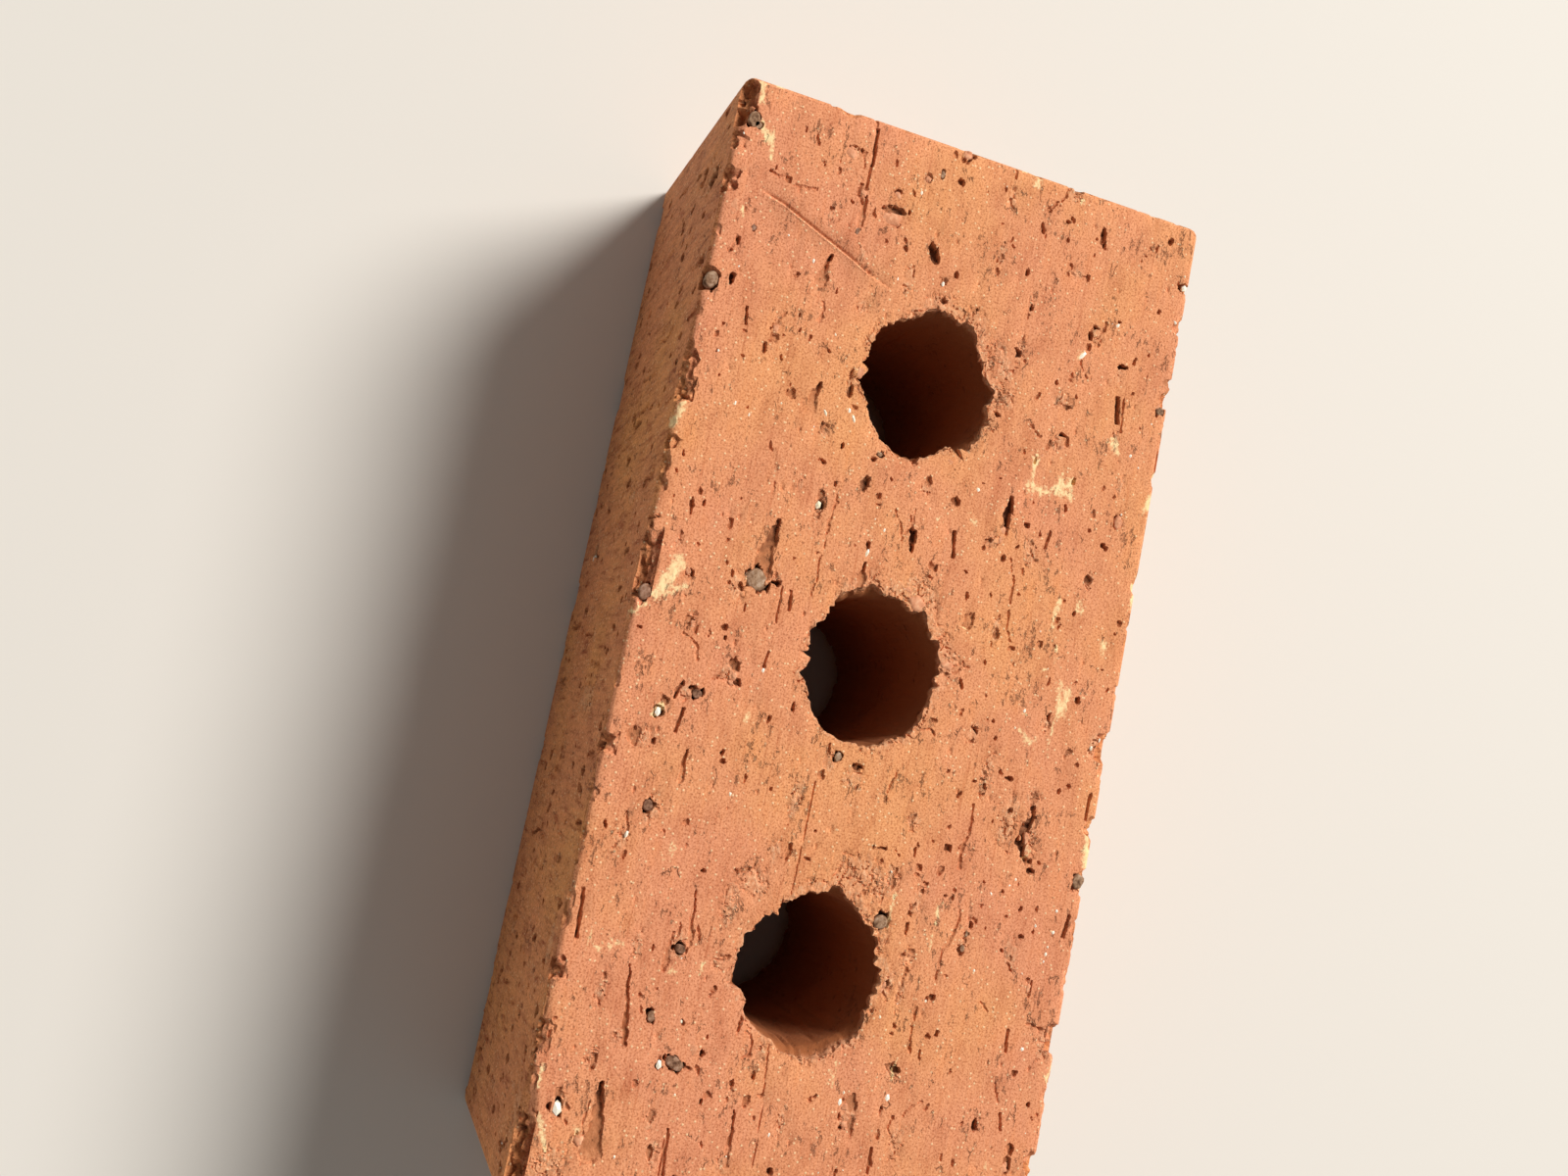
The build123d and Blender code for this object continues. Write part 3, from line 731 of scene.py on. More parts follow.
bed_cracks = (
    # width, then the points of the path
    (
        1.0, (20.2, 38.2), (22, 38.4), (24, 37.3), (26, 36.3), (27.4, 36.2), (28.4, 37.3),
        (30.6, 37.7), (31, 38.9),
    ),
    (0.5, (17.4, 38.2), (18.6, 37.7), (20.4, 38.4)),
    (0.35, (-29, 22.8), (-25, 24.2), (-20, 24.6), (-14.6, 24.6), (-12, 25.9)),
    (0.4, (63.4, 45.5), (63.6, 47), (64.2, 48.6), (64, 49.8), (66, 50.4)),
    (0.35, (22, 24.9), (27, 25), (31, 23.9), (35, 24.2)),
    (0.4, (-83.9, 34.8), (-82, 34.3), (-80.8, 33.8), (-80, 32.2)),
    (0.35, (-82.3, 33.4), (-82.6, 32), (-80.6, 31.4)), (0.3, (-74.2, 30.2), (-72.6, 31), (-71.2, 32.4)),
    (0.3, (-56, 24.4), (-56.6, 22.8), (-57.8, 22)), (0.35, (-92.6, 27.6), (-92, 26), (-92.4, 24.6)),
    (0.35, (-110, 20.2), (-108.6, 20), (-106.2, 18.6), (-104.6, 17.4)),
    (0.3, (1.2, -41.8), (2, -40), (3, -38.7), (5.5, -38.4)), (0.3, (-78, -48), (-76, -48.6), (-74.8, -49)),
    (0.35, (73.3, -13.8), (73.8, -12.5), (75.8, -12), (77.4, -12), (78.2, -13.6)),
    (0.4, (57, -31.8), (60, -31.8), (62, -32), (64.4, -32)),
    (0.35, (-5.9, 16.4), (-4.8, 17.2), (-3.4, 15.4), (-2.6, 14)), (0.35, (-4.8, 17.2), (-5, 18.5)),
    (0.35, (-6.3, 12.2), (-6, 14), (-5.3, 16)), (0.5, (-2.8, 13.6), (-3, 12)),
    (0.35, (40.6, -44.2), (42, -45.4), (43.4, -46.6)), (0.35, (36.7, -45.6), (40, -44.6)),
    (0.3, (45.4, -19.6), (45.8, -21.5), (47, -23)), (0.3, (46.6, -22.9), (52, -22.8)),
    (0.3, (-93.4, -40.8), (-92.3, -42), (-93, -44.4)), (0.3, (-92.5, -34), (-92, -37), (-91.8, -39)),
    (0.3, (-70.4, -28), (-68.6, -27.6), (-66.3, -28)), (0.3, (-67.2, -27.2), (-66.4, -28.6)),
    (0.35, (-65.6, -35.2), (-64, -36.2), (-61.8, -37.4)),
    (0.35, (85.2, 19.8), (87.4, 19.2), (89.4, 20.6), (92, 21.8)),
    (0.3, (81.4, 25), (83, 23.2), (84.8, 22.2)), (0.3, (43, 26), (48, 25.8), (52, 23.6), (57.5, 23.6)),
    (0.3, (65.6, 20.3), (72, 20.6)), (0.3, (57, 16.8), (63, 16)), (0.35, (61.2, 12.8), (63, 13.8)),
    (0.3, (18.6, 7.2), (21, 5.9), (24, 5.7)), (0.35, (-111, -24.7), (-108.6, -24.3)),
    (0.3, (9.4, 10), (9, 12), (9.6, 13)), (0.3, (-12, -18), (-20, -17.8), (-33, -17)),
    (0.3, (76, 40.4), (79.5, 42)), (0.3, (60.6, 34), (62, 36)), (0.3, (-34, 0.2), (-31, 0), (-28.4, -1.4)),
    (0.3, (-26.6, -1.6), (-30.6, -2.6), (-32.6, -4.2)), (0.35, (99.3, -38.4), (101, -40)),
    (0.3, (90, -40.4), (93, -41.4), (97, -40.6)), (0.4, (-96.5, -25), (-94, -25.2), (-92.4, -24.2)),
    (0.3, (-103, -25.8), (-100, -25.4)),
)
bed_crumbles = (
    (-82.2, -22, 5.6, 1.8, 8), (-95, -24.2, 3.4, 2.4), (-86.8, -23.9, 2.4, 1.5), (-110, -4, 4, 3.4),
    (-81.8, -3.6, 3, 2.4), (-102, -11.2, 3, 2.6), (-93, -16.6, 5, 7), (-102.4, -27.8, 4.6, 3.4),
    (-63, -36.2, 5, 2), (-55.5, -19, 6, 2.4), (-45, -22.4, 5, 2.6), (-73.4, 39.6, 4.6, 1.8),
    (-50.5, 44.6, 7, 2.4, -10), (-43, 46.4, 5, 3.4), (-81, 33, 5, 4), (-60.4, 41.6, 3.6, 2.4),
    (-109, 22, 5, 5), (-92.8, 26, 3, 5), (-92, 8.2, 8, 2.4), (-83, 16.8, 6, 1.8), (-73, 16.4, 7, 2.4),
    (-55.6, 28.4, 5, 4), (-64.6, 27.4, 4, 5), (-69, 13, 12, 6, 25), (-61.4, 15.6, 5, 4), (-80, -11, 8, 4),
    (-71.5, -19.6, 5, 3), (-39, 1.6, 4, 3), (-36.8, -11.8, 4.4, 2.6), (-29, -20.2, 8, 2.6),
    (-13.4, -25.6, 4, 3), (-9.6, -33.4, 8, 5), (6.6, -31.4, 7, 5), (11.6, -38.6, 5, 5), (-1.4, -40.8, 5, 3),
    (-8.4, -43.4, 6, 3), (15.5, -43, 5, 4), (-16, -46.6, 4, 1.6), (22.4, -45, 6, 6), (-33, -24.8, 3, 2),
    (19.5, -7.4, 7, 3), (22, -2, 6, 6), (28, -13, 12, 4), (-17.5, 5, 9, 11, -30), (-4.5, 13.8, 9, 5),
    (28, 12.4, 5, 4), (-29, 41.4, 5, 2.4), (3, 37.6, 5, 2.4), (18.4, 38, 6, 4), (27, 38, 14, 6),
    (24, 33, 14, 6), (5, 50, 10, 5), (8, 21.6, 6, 3.4), (-32, 17.6, 5, 5), (-31, 27, 9, 4),
    (-14, 22.6, 7, 3), (43, 16.3, 9, 3, -12), (50, 28, 7, 2.6, -8), (54, 16.6, 5, 4), (62, 16.6, 9, 2.6),
    (60, 13.6, 7, 4), (76.6, 18, 5, 4), (40.6, 10, 9, 4, -10), (39.5, 3, 9, 12), (48.5, 9.6, 6, 5),
    (86, 10.6, 9, 4.6), (67, 50, 9, 4), (50, 38.6, 8, 4), (42, 8, 6, 5), (38.6, -14.8, 6, 3),
    (50, -21.6, 12, 5), (45, -17.6, 8, 7), (61, -21.6, 5, 3), (59.4, -30.2, 9, 4), (76, -9.6, 7, 3),
    (85.6, -14, 5, 2), (97, -26.8, 7, 3), (92, -28.6, 5, 3), (60.6, -38, 8, 2.4), (69, -43.2, 8, 2.4),
    (91, -46.6, 8, 5), (97, -41.4, 5, 4), (98, -13, 6, 3), (82, -42, 5, 3), (77, -38.6, 4, 4),
    (103, -46, 12, 10), (35, -40.8, 7, 4), (41.5, -45.2, 6, 3), (-104, 8, 8, 1.8), (-88, -30, 3, 2),
    (104, 44, 8, 4), (88, -3, 10, 2), (90, 21.4, 9, 4), (16, 26.4, 12, 4),
)

# %% [markdown]
# Stones in the bed
# Brick clay is full of grit: white quartz, grey gravel, and crumbs of the clay itself. The wire has
# bared these, and it has torn a socket round each of the wider grains and stones. They are pieces of
# their own, made further down.

# %% Where the stones of the upper bed are
white_grains = (
    # x, y, length, width, turn
    (-97, 51.6, 1.7, 1.3, -30), (-84.3, 37.5, 1.5, 0.9, -20), (-57.4, 45.9, 0.9, 0.8),
    (-75.6, 30.6, 3, 1.1, -35), (-48.6, -16.8, 2, 0.9, 25), (-50, -18, 1.6, 0.8),
    (-48.4, -22.9, 1.8, 0.8, 25), (-29.8, -20.5, 2, 1.5, -15), (-22.9, -8.3, 2, 0.9, -15),
    (4.8, -24.7, 1, 0.8), (1, 32.1, 1, 0.5), (-41.5, 12.7, 1.2, 0.8), (16.9, -43.6, 2.1, 1.3),
    (40.7, -44.6, 1.6, 0.7, -10), (81.6, -29.2, 2.2, 1.2), (91.9, -46.5, 3, 2, 5), (81.6, 17.9, 2, 1.1),
    (83.7, 8.2, 1.6, 1), (81.7, 8.6, 1, 0.6), (66.6, 13.2, 1.2, 0.8), (40, 47.5, 0.9, 0.7),
    (44.3, 47.5, 0.7, 0.7), (47.5, 46.8, 0.8, 0.7), (48.9, 46.7, 1, 0.6), (50.5, 46.5, 0.7, 0.5),
    (-55.3, 48.2, 0.6, 0.5), (-65.4, 49.6, 0.6, 0.5), (43.6, 43.3, 1, 0.6), (68.4, 45.2, 0.8, 0.8),
    (62.1, 22.2, 0.8, 0.6), (54.6, 31.5, 0.7, 0.6), (35.2, 37, 0.6, 0.5), (97.4, 6.6, 0.8, 0.6),
    (91.6, -4.9, 1, 0.5), (29.6, -26.2, 1.1, 0.9), (-64.4, -24.1, 0.8, 0.5), (-77.8, -31.7, 1.2, 0.8),
    (-79.5, -13.4, 1.3, 0.5), (-81.4, -3.6, 1.2, 0.7), (-98.8, -12, 1.2, 0.7), (-54.6, -47, 0.6, 0.5),
    (-89, 50.9, 1.2, 0.8, 40), (-44.4, 46.2, 0.6, 0.5), (-45.2, -41.4, 1.2, 0.4), (-43.8, -38.2, 1, 0.3),
    (-28.2, -5.7, 1, 0.5), (-33.2, 5.2, 0.7, 0.5), (-8.6, 35.6, 0.6, 0.5), (3.6, 50.4, 1, 0.5),
    (5.6, 48.8, 1.2, 0.8), (-81.3, -37.9, 0.6, 0.6), (73.2, -26.6, 0.8, 0.6), (86.6, -25, 0.8, 0.5),
    (99.2, -34, 0.8, 0.5), (-99.6, 51.2, 0.5, 0.4),
)
grey_stones = (
    (-12.2, -29.8, 4.8, 4.6, 70), (-68, -51.3, 3.8, 2.8, -15), (-102.4, -49.6, 3.6, 2.4),
    (-5, -51, 3.4, 2.4, -10), (81, -26.2, 2.4, 4, -25), (73.2, -32.5, 2.3, 1.8), (60, -29.7, 1.9, 2.2),
    (48.5, 9.6, 2.8, 3, 50), (90, -8.6, 1.2, 0.9), (-68.8, 51, 2.2, 1.8), (33.2, 51.3, 3.2, 2.8),
    (11.9, -36.8, 1.8, 2), (-43.1, -9.8, 1.1, 1.4), (-80.7, -45.3, 1.5, 1), (18.2, -6, 2.2, 1.4),
    (34.6, -41.6, 2.2, 1.8), (-101.4, -48.6, 1.3, 1.2), (-104, -8.3, 1.8, 0.9), (-86.6, -23.8, 1.4, 1),
    (-12.8, -32, 1, 0.5), (50.6, 28, 1.6, 1), (47.6, 28.4, 1.4, 0.9), (-43.5, 39.2, 1.1, 0.7),
)
clay_crumbs = (
    (-83.8, -50, 4.4, 2.6), (-91.3, -17.2, 3, 5.2, 8), (-96.4, -17, 1.8, 1.4), (-102.2, -28.6, 3, 2.8),
    (-110, -3.6, 2.4, 2), (-102, -11.2, 1.4, 1.2), (-94.6, -24.2, 1.6, 1.4), (-62, -36.4, 2.4, 1.5),
    (-58.5, -17.4, 2.8, 1.7), (-42.6, 45.9, 3, 2), (-54.6, 29.8, 1.8, 1.6), (-52.4, 25.5, 1.4, 1.8, -40),
    (-70, 49.8, 3, 1.7, -20), (-34.4, 19.8, 2.2, 1.8), (-32.6, 20, 2.2, 1.6, -30),
    (-15.4, 4.2, 3.4, 4.4, -20), (-17.6, 1.6, 1.8, 2), (-4.4, 13.4, 1.9, 3), (-17, -25.8, 3.4, 1.5, -15),
    (-0.9, -40.4, 1.8, 1, 10), (-14.4, -25.4, 1, 1), (7.2, -30.4, 1.7, 1.5), (8.4, -30.8, 1, 1),
    (-45.6, 5.6, 1.8, 1.6), (78, -22.9, 2.8, 2.6), (97, -41.3, 2.4, 1.8, 15), (84.6, 9.4, 1.6, 1.8),
    (88, 10, 1.6, 1.4), (56.4, 44.3, 1.9, 1), (60.8, 12.6, 2, 0.9, -20), (67, -16.4, 1.8, 1.8),
    (26.6, 37.8, 2.4, 1.4), (21.5, 37.4, 1.4, 0.8), (92, 46, 2.2, 1.4), (45, -46, 1, 0.6),
    (-89.4, -17.6, 1, 2.6), (-10.8, -43.6, 1.5, 1), (12.4, -38.4, 1, 1),
)

print(len(white_grains), "white grains,", len(grey_stones), "grey stones,", len(clay_crumbs), "crumbs")

# %% Sockets, and all marks of the upper bed
# Like every mark, a socket gets painted shade by its depth: a dark ring round its stone.
socket_gap = 0.35  # how much wider a socket is than its stone
socket_from = 1.1  # stones wider than this have one
sockets = [
    (x, y, long + socket_gap, wide + socket_gap, *turn)
    for x, y, long, wide, *turn in (*white_grains, *grey_stones)
    if wide > socket_from
]
press(
    "upper_bed",
    [
        (pluck, bed_plucks), (pit, (*bed_pits, *sockets)), (drag, bed_drags), (slot, bed_slots),
        (crack, bed_cracks), (crumble, bed_crumbles),
    ],
)

# %% [markdown]
# The long scratch and the yellow rubs
# One scratch runs across the bed near the far end. Something blunt ploughed it while the clay was
# stiff, so it has a groove and a small raised lip, and the whole bed is first lowered by as much as
# the lip stands up. Its groove gets a painted shadow and its lip a thin painted highlight. The pale
# yellow rubs are lime-rich clay, smeared flat: they have no depth, so they are stored as a number
# from 0 to 1 that the material turns into colour, and the lip's painted highlight is stored with them.

# %% The long scratch
lip = 0.22  # how far the scratch's lip stands above the bed
groove = 0.5  # how deep its groove is
scratch = ((-77, -14.8), (-78.7, -19.6), (-81, -24.6), (-84.2, -32.5), (-87.4, -40.2), (-88.8, -45.6))
bed = np.nonzero(depths["upper_bed"] < press_reach)[0]
flat = points[bed][:, :2]
hold = 1 - smooth_step(full_press, press_reach, depths["upper_bed"][bed])
beside = np.full(len(flat), off_line)  # how far beside the scratch, in mm, with the side as its sign
for start, end in zip(scratch[:-1], scratch[1:]):
    _, side, past = along_line(flat, start, end)
    gap = np.hypot(side, past) * np.sign(side)
    beside = np.where(np.abs(gap) < np.abs(beside), gap, beside)
# It starts from nothing near the front stretcher face, and its other end is faint
taper = smooth_step(-47, -42, flat[:, 1]) * (1 - 0.6 * smooth_step(-24, -15, flat[:, 1]))
plough = groove * np.exp(-(((beside - 0.15) / 0.32) ** 2)) - lip * np.exp(-(((beside + 0.45) / 0.3) ** 2))
points[bed, 2] -= (lip + plough * taper) * hold
# A painted shadow along the scratch's groove
hollow[bed] = np.maximum(hollow[bed], 0.55 * taper * np.exp(-(((beside - 0.2) / 0.34) ** 2)))

print("scratch ploughed", round(float(plough.max() + lip), 2), "mm deep")

# %% The yellow rubs
rubs = (
    # start x and y, end x and y, width
    (-45.4, 33.6, -45, 23.8, 1.9), (-45.6, 30, -48.6, 33.4, 1.8), (-47.4, 32.4, -46.6, 30, 2.2),
    (-46, 24.4, -51.6, 24.2, 1), (-59.5, 41.4, -57.4, 42.6, 1.8), (-58.4, 40.4, -58, 42.8, 1),
    (-85.4, 31.2, -83.2, 31.1, 0.6), (-76.6, 30.7, -74.8, 29.7, 1), (-110, 13.4, -107.4, 12.8, 1.5),
    (-109, 24.2, -107.8, 23.6, 0.8), (-111, 10.6, -110.6, 9.6, 0.8), (-49.6, 52.4, -46.8, 51.4, 1.9),
    (-55.4, 53, -53.6, 52.8, 0.8), (-30.4, 52.8, -25.4, 52.4, 1.3), (-5.2, 41.2, 0.6, 40.8, 1.6),
    (-6.6, 39.2, -0.6, 39.6, 1), (-1, 39.4, 8, 38.8, 0.5), (-8.6, 44, -8, 45.4, 0.8),
    (-21.6, 34.9, -16.8, 34.9, 1), (-23, 36, -21, 34.8, 0.5), (-14.4, 36.7, -9.6, 36.8, 0.5),
    (-8.4, 36, -8, 34, 0.7), (-22.2, 41.2, -21.8, 39.8, 0.6), (-15.7, 48.2, -15.7, 46.2, 0.6),
    (7.4, 35.4, 5.2, 31.8, 1.3), (-36.2, 11.6, -34.2, 14, 0.7), (-12.2, 18.8, -13.1, 14.4, 0.45),
    (23.4, 51.4, 29.8, 52.2, 1.9), (27.4, 50.8, 29.6, 51.6, 1), (31, 38, 29, 39, 0.8),
    (-12, -45.6, -5.4, -48.6, 3), (-7.8, -43.4, -6.8, -45.8, 1.6), (-6, -46.4, -5.2, -46.8, 0.9),
    (-2.6, -50.6, -0.6, -52.4, 1.2), (15.6, -43, 17.4, -44.4, 1.5), (14.8, -46, 16.4, -45.4, 0.9),
    (-100.4, -45.4, -95.4, -44.6, 1.4), (-102, -48, -98.6, -46, 1.4), (-109.8, -49.4, -106.4, -49.2, 1.7),
    (-84.4, -48.4, -81.8, -47.8, 1), (-111, -47, -110.6, -45, 0.7), (-42.4, -51.6, -38, -52.6, 1.9),
    (40.6, -35.1, 44.2, -35.1, 0.6), (42.8, -36, 43.4, -36.4, 0.5), (62.6, -30.2, 64.6, -30.8, 0.7),
    (83.4, -25, 85, -24.7, 0.6), (86.4, -24.6, 87.6, -24.6, 0.5), (90.4, -24.7, 91.6, -24.6, 0.6),
    (60.6, -41, 62.2, -47.6, 0.6), (93.6, -49.6, 97.6, -48, 1.3), (96.4, -48.4, 99.6, -47, 0.8),
    (84.4, -50.7, 88.6, -50.7, 0.9), (95, -42, 97.4, -41.6, 0.8), (61, -24.9, 64.4, -25, 0.4),
    (43, 21, 52, 21.2, 0.5), (42, 22.6, 44, 22, 0.5), (42, 11.4, 49.4, 11.2, 0.8),
    (74, 18.4, 78, 18.2, 0.5), (76.4, 5.6, 81.6, 6.2, 0.4), (39, -6.6, 41, -6.4, 0.3),
    (70.6, 53, 74.4, 51.6, 0.9), (92, 42, 96, 41, 0.6), (-10.6, 17.8, -10.4, 17, 0.3),
    (-33.4, 5.4, -32.8, 5.2, 0.5), (0.8, 32.4, 1.6, 32, 0.7), (13.4, -26.4, 14.6, -26, 0.8),
)

pale = np.zeros(len(points))
# A thin painted highlight along the scratch's lip, stored with the rubs
pale[bed] = 0.55 * taper * np.exp(-(((beside + 0.4) / 0.35) ** 2))
rag = 0.35 * bumps(flat, 1.6, 31) + 0.3 * bumps(flat, 0.6, 32)
for x0, y0, x1, y1, wide in rubs:
    _, side, past = along_line(flat, (x0, y0), (x1, y1))
    edge = np.hypot(side, past) / (wide / 2)
    pale[bed] = np.maximum(pale[bed], 1 - smooth_step(0.4, 1.5, edge + rag))
fine_square = (voxel / 2) ** 2
print(len(rubs), "rubs on", round(float((pale > 0.5).sum()) * fine_square), "mm2")

# %% [markdown]
# The other five faces
# The photograph shows one of them, the front stretcher face, from its side and in shade. Its marks
# are drawn as on the bed, but they run from bed to bed, because they come from the die. The other
# four faces are out of sight. They get marks of the same kinds, sizes and numbers for their area,
# drawn with a fixed seed, and the front stretcher face gets its small ones in the same way.

# %% Marks of the front stretcher face
front_pits = (
    (-93, 60, 4, 9, 0), (-97, 51, 2.4, 4), (-73, 66, 1.4, 7), (-58, 62, 1.6, 4), (-52, 64, 1.4, 3),
    (-44, 36, 1.2, 6), (-47, 28, 1.6, 3), (-46, 47, 1.2, 3), (-36, 33, 1.6, 5), (-30, 40, 1.2, 3.4),
    (-17, 16, 3, 3.6), (-26, 22, 1.4, 3.4), (-33, 12, 1.6, 2.6), (-14, 55, 1.4, 4), (-6, 57, 1.2, 3),
    (31, 60, 1.6, 4.4), (49, 55, 1.4, 3), (66, 47, 1.8, 4), (72, 42, 1.2, 3), (90, 47, 1.6, 4.4),
    (78, 15, 2, 3), (60, 12, 1.4, 3.4), (30, 17, 1.6, 3), (6, 6, 1.6, 2.4), (14, 35, 1.2, 3),
    (-3, 22, 1.4, 3.4), (-64, 17, 1.6, 3), (-110, 27, 1, 4), (-88, 38, 1, 3), (-103, 12, 1.6, 2.6),
    (40, 30, 1.2, 3.6), (97, 26, 1.6, 3), (103, 60, 2, 4), (22, 68, 1.6, 3), (-82, 9, 1.4, 2),
    (56, 66, 1.2, 4), (-68, 50, 1, 3), (84, 64, 1.6, 3),
)
front_drags = (
    (-55, 28, -54, 44, 0.8, 0.5), (-83, 19, -86, 31, 0.8, 0.5), (46, 20, 47, 31, 1, 0.5),
    (9, 42, 10, 53, 1, 0.5),
)
front_cracks = ((0.35, (-62, 40), (-61, 46), (-62, 52)), (0.35, (80, 30), (81, 36), (80.6, 41)))
front_crumbles = (
    (17, 46, 8, 24), (-93, 58, 8, 14), (-17, 16, 8, 8), (-74, 68, 8, 7), (64, 64, 12, 8),
    (95, 66, 16, 9),
)
press(
    "front_stretcher",
    [(pit, front_pits), (drag, front_drags), (crack, front_cracks), (crumble, front_crumbles)],
)

# %% Scattered marks
def scattered(name, seed, pits, drags, cracks, crumbles):
    """Marks of each kind at random places on a face, drawn out along its streaks."""
    dice = np.random.default_rng(seed)
    flat_axes, streaks = boards[name][2:]
    upright = streaks == flat_axes[1]
    start, end = low[list(flat_axes)] + 2, high[list(flat_axes)] - 2

    def place():
        return dice.uniform(start, end)

    def lay(along, across):
        return (across, along) if upright else (along, across)

    made = {pit: [], drag: [], crack: [], crumble: []}
    for _ in range(pits):
        wide = dice.choice((0.6, 0.9, 1.3, 2.0), p=(0.4, 0.35, 0.18, 0.07))
        made[pit].append((*place(), *lay(wide * dice.uniform(1.1, 2.8), wide), dice.normal(0, 12)))
    for _ in range(drags):
        x, y = place()
        dx, dy = lay(dice.uniform(3, 10), dice.normal(0, 0.6))
        made[drag].append((x, y, x + dx, y + dy, dice.uniform(0.8, 2.4), dice.choice((0.15, 0.6))))
    for _ in range(cracks):
        path = [place()]
        for _ in range(dice.integers(2, 5)):
            path.append(path[-1] + lay(*dice.normal((1.5, 0), (1.2, 1.0))))
        made[crack].append((0.35, *map(tuple, path)))
    for _ in range(crumbles):
        made[crumble].append((*place(), *lay(dice.uniform(3, 10), dice.uniform(2, 5)), dice.normal(0, 15)))
    return list(made.items())


# Each face: its seed, then how many pits, drags, cracks and crumbles
press("lower_bed", scattered("lower_bed", 41, pits=260, drags=26, cracks=34, crumbles=60))
press("back_stretcher", scattered("back_stretcher", 42, pits=150, drags=24, cracks=16, crumbles=16))
press("left_header", scattered("left_header", 43, pits=70, drags=11, cracks=8, crumbles=8))
press("right_header", scattered("right_header", 44, pits=70, drags=11, cracks=8, crumbles=8))
press("front_stretcher", scattered("front_stretcher", 45, pits=170, drags=24, cracks=20, crumbles=14))

# %% [markdown]
# Broken arrises
# An arris is the long edge between two faces. The wire leaves it rough, and handling knocks pieces
# off. The CAD solid has the larger chips as smooth scoops. Here each arris of the two beds gets an
# uneven edge all along. The long ones also get breaks: those that the photograph shows, and made-up
# ones on the lower back arris, which it doesn't show.

# %% Where the long arrises broke
arris_breaks = {
    # bed and side: (from x, to x, depth)
    ("upper_bed", "front_stretcher"): (
        (-111, -104, 2.6), (-104.6, -100.4, 3.4), (-100, -95, 1.4), (-91.6, -86, 1.7), (-80, -77, 0.9),
        (-70.4, -66, 2.2), (-53.4, -43, 1.7), (-46.4, -43, 2.2), (-36, -33, 1.3), (-28.6, -24, 1.2),
        (-17, -3, 2.6), (-16.4, -11.6, 1.6), (-7.4, -3.4, 2.8), (22, 27, 1.6), (33, 36, 0.9),
        (52, 60, 0.9), (64.6, 69.4, 1.7), (76, 84, 1.5), (84, 93, 1.1), (93, 111, 3.2),
    ),
    ("upper_bed", "back_stretcher"): (
        (-98.2, -96, 1.6), (-90, -86, 1.3), (-84.4, -82.6, 0.7), (-74, -69.4, 1.7), (-66, -63, 0.6),
        (-23, -20, 0.8), (-8.6, -6.4, 1), (1.6, 8.4, 2.3), (8, 12, 1), (19.6, 24.6, 1.4),
        (30.4, 36, 1.6), (40, 46, 1), (50, 56, 0.9), (62.6, 69, 2.1), (75, 79, 1), (88, 95, 1.8),
        (101, 111, 1.6),
    ),
    ("lower_bed", "front_stretcher"): (
        (-106, -100, 2.6), (-62, -53, 2.6), (-10.4, -3.6, 2.8), (4, 8, 1.6), (26, 32, 1.4), (-41, -38, 1.2),
        (60, 64, 1.2), (76, 92, 1.8), (88, 111, 3.0),
    ),
    ("lower_bed", "back_stretcher"): (
        (-88, -81, 2.2), (-32, -27, 1.4), (14, 24, 2.4), (70, 75, 1.4), (97, 104, 2.0),
    ),
}
print({" and ".join(pair): len(rows) for pair, rows in arris_breaks.items()}, "breaks")

# %% Wearing the arrises
wear_reach = 3.2  # how far from the arris its wear reaches
for bed_name in ("upper_bed", "lower_bed"):
    for side_name in ("front_stretcher", "back_stretcher", "left_header", "right_header"):
        from_bed, from_side = depths[bed_name], depths[side_name]
        near = np.nonzero((from_bed < wear_reach) & (from_side < wear_reach))[0]
        side_axis, side_sign, (along_axis, _), _ = boards[side_name]
        along = points[near, along_axis]
        line = np.stack([along, from_bed[near] - from_side[near]], 1)
        worn = 0.16 + 0.35 * np.maximum(bumps(line, 2.2, 51), 0)
        worn += 0.9 * smooth_step(0.35, 1, bumps(line, 6.0, 52))
        worn += 0.3 * np.maximum(bumps(line, 0.8, 56), 0)
        for start, end, deep in arris_breaks.get((bed_name, side_name), ()):
            half = (end - start) / 2
            edge = np.abs(along - start - half) / half + 0.3 * bumps(line, 1.5, 53)
            uneven = 0.8 + 0.3 * bumps(line, 1.1, 54)
            worn = np.maximum(worn, deep * (1 - smooth_step(0.6, 1.1, edge)) * uneven)
        gap, number = clods(line, 1.6, 55)
        worn += smooth_step(0.6, 1.6, worn) * (0.3 * number + 0.1 * (1 - smooth_step(0.05, 0.3, gap)))
        # A break is a slanting face: it takes most at the arris and nothing at `worn` away from it
        cut = np.maximum(worn - 0.5 * (from_bed[near] + from_side[near]), 0)
        points[near, 2] -= boards[bed_name][1] * cut
        points[near, side_axis] -= side_sign * cut
        # A little painted shade in the breaks and in the crevices between their clods
        crevice = smooth_step(0.6, 1.6, worn) * (1 - smooth_step(0.05, 0.35, gap))
        hollow[near] = np.maximum(hollow[near], np.where(cut > 0.1, 0.12 * cut + 0.12 * crevice, 0))
        torn[near] = np.maximum(torn[near], 0.45 * smooth_step(0.1, 0.8, cut))
    print(bed_name, "arrises worn by up to", round(float(cut.max()), 1), "mm")

# %% [markdown]
# Inside the cores
# The rods left the walls nearly smooth, with faint streaks along them. Where the wire leaves the clay
# at the bottom, it pulls clods out of the mouth. The solid has that as a smooth flare, and here its
# skin is broken up.

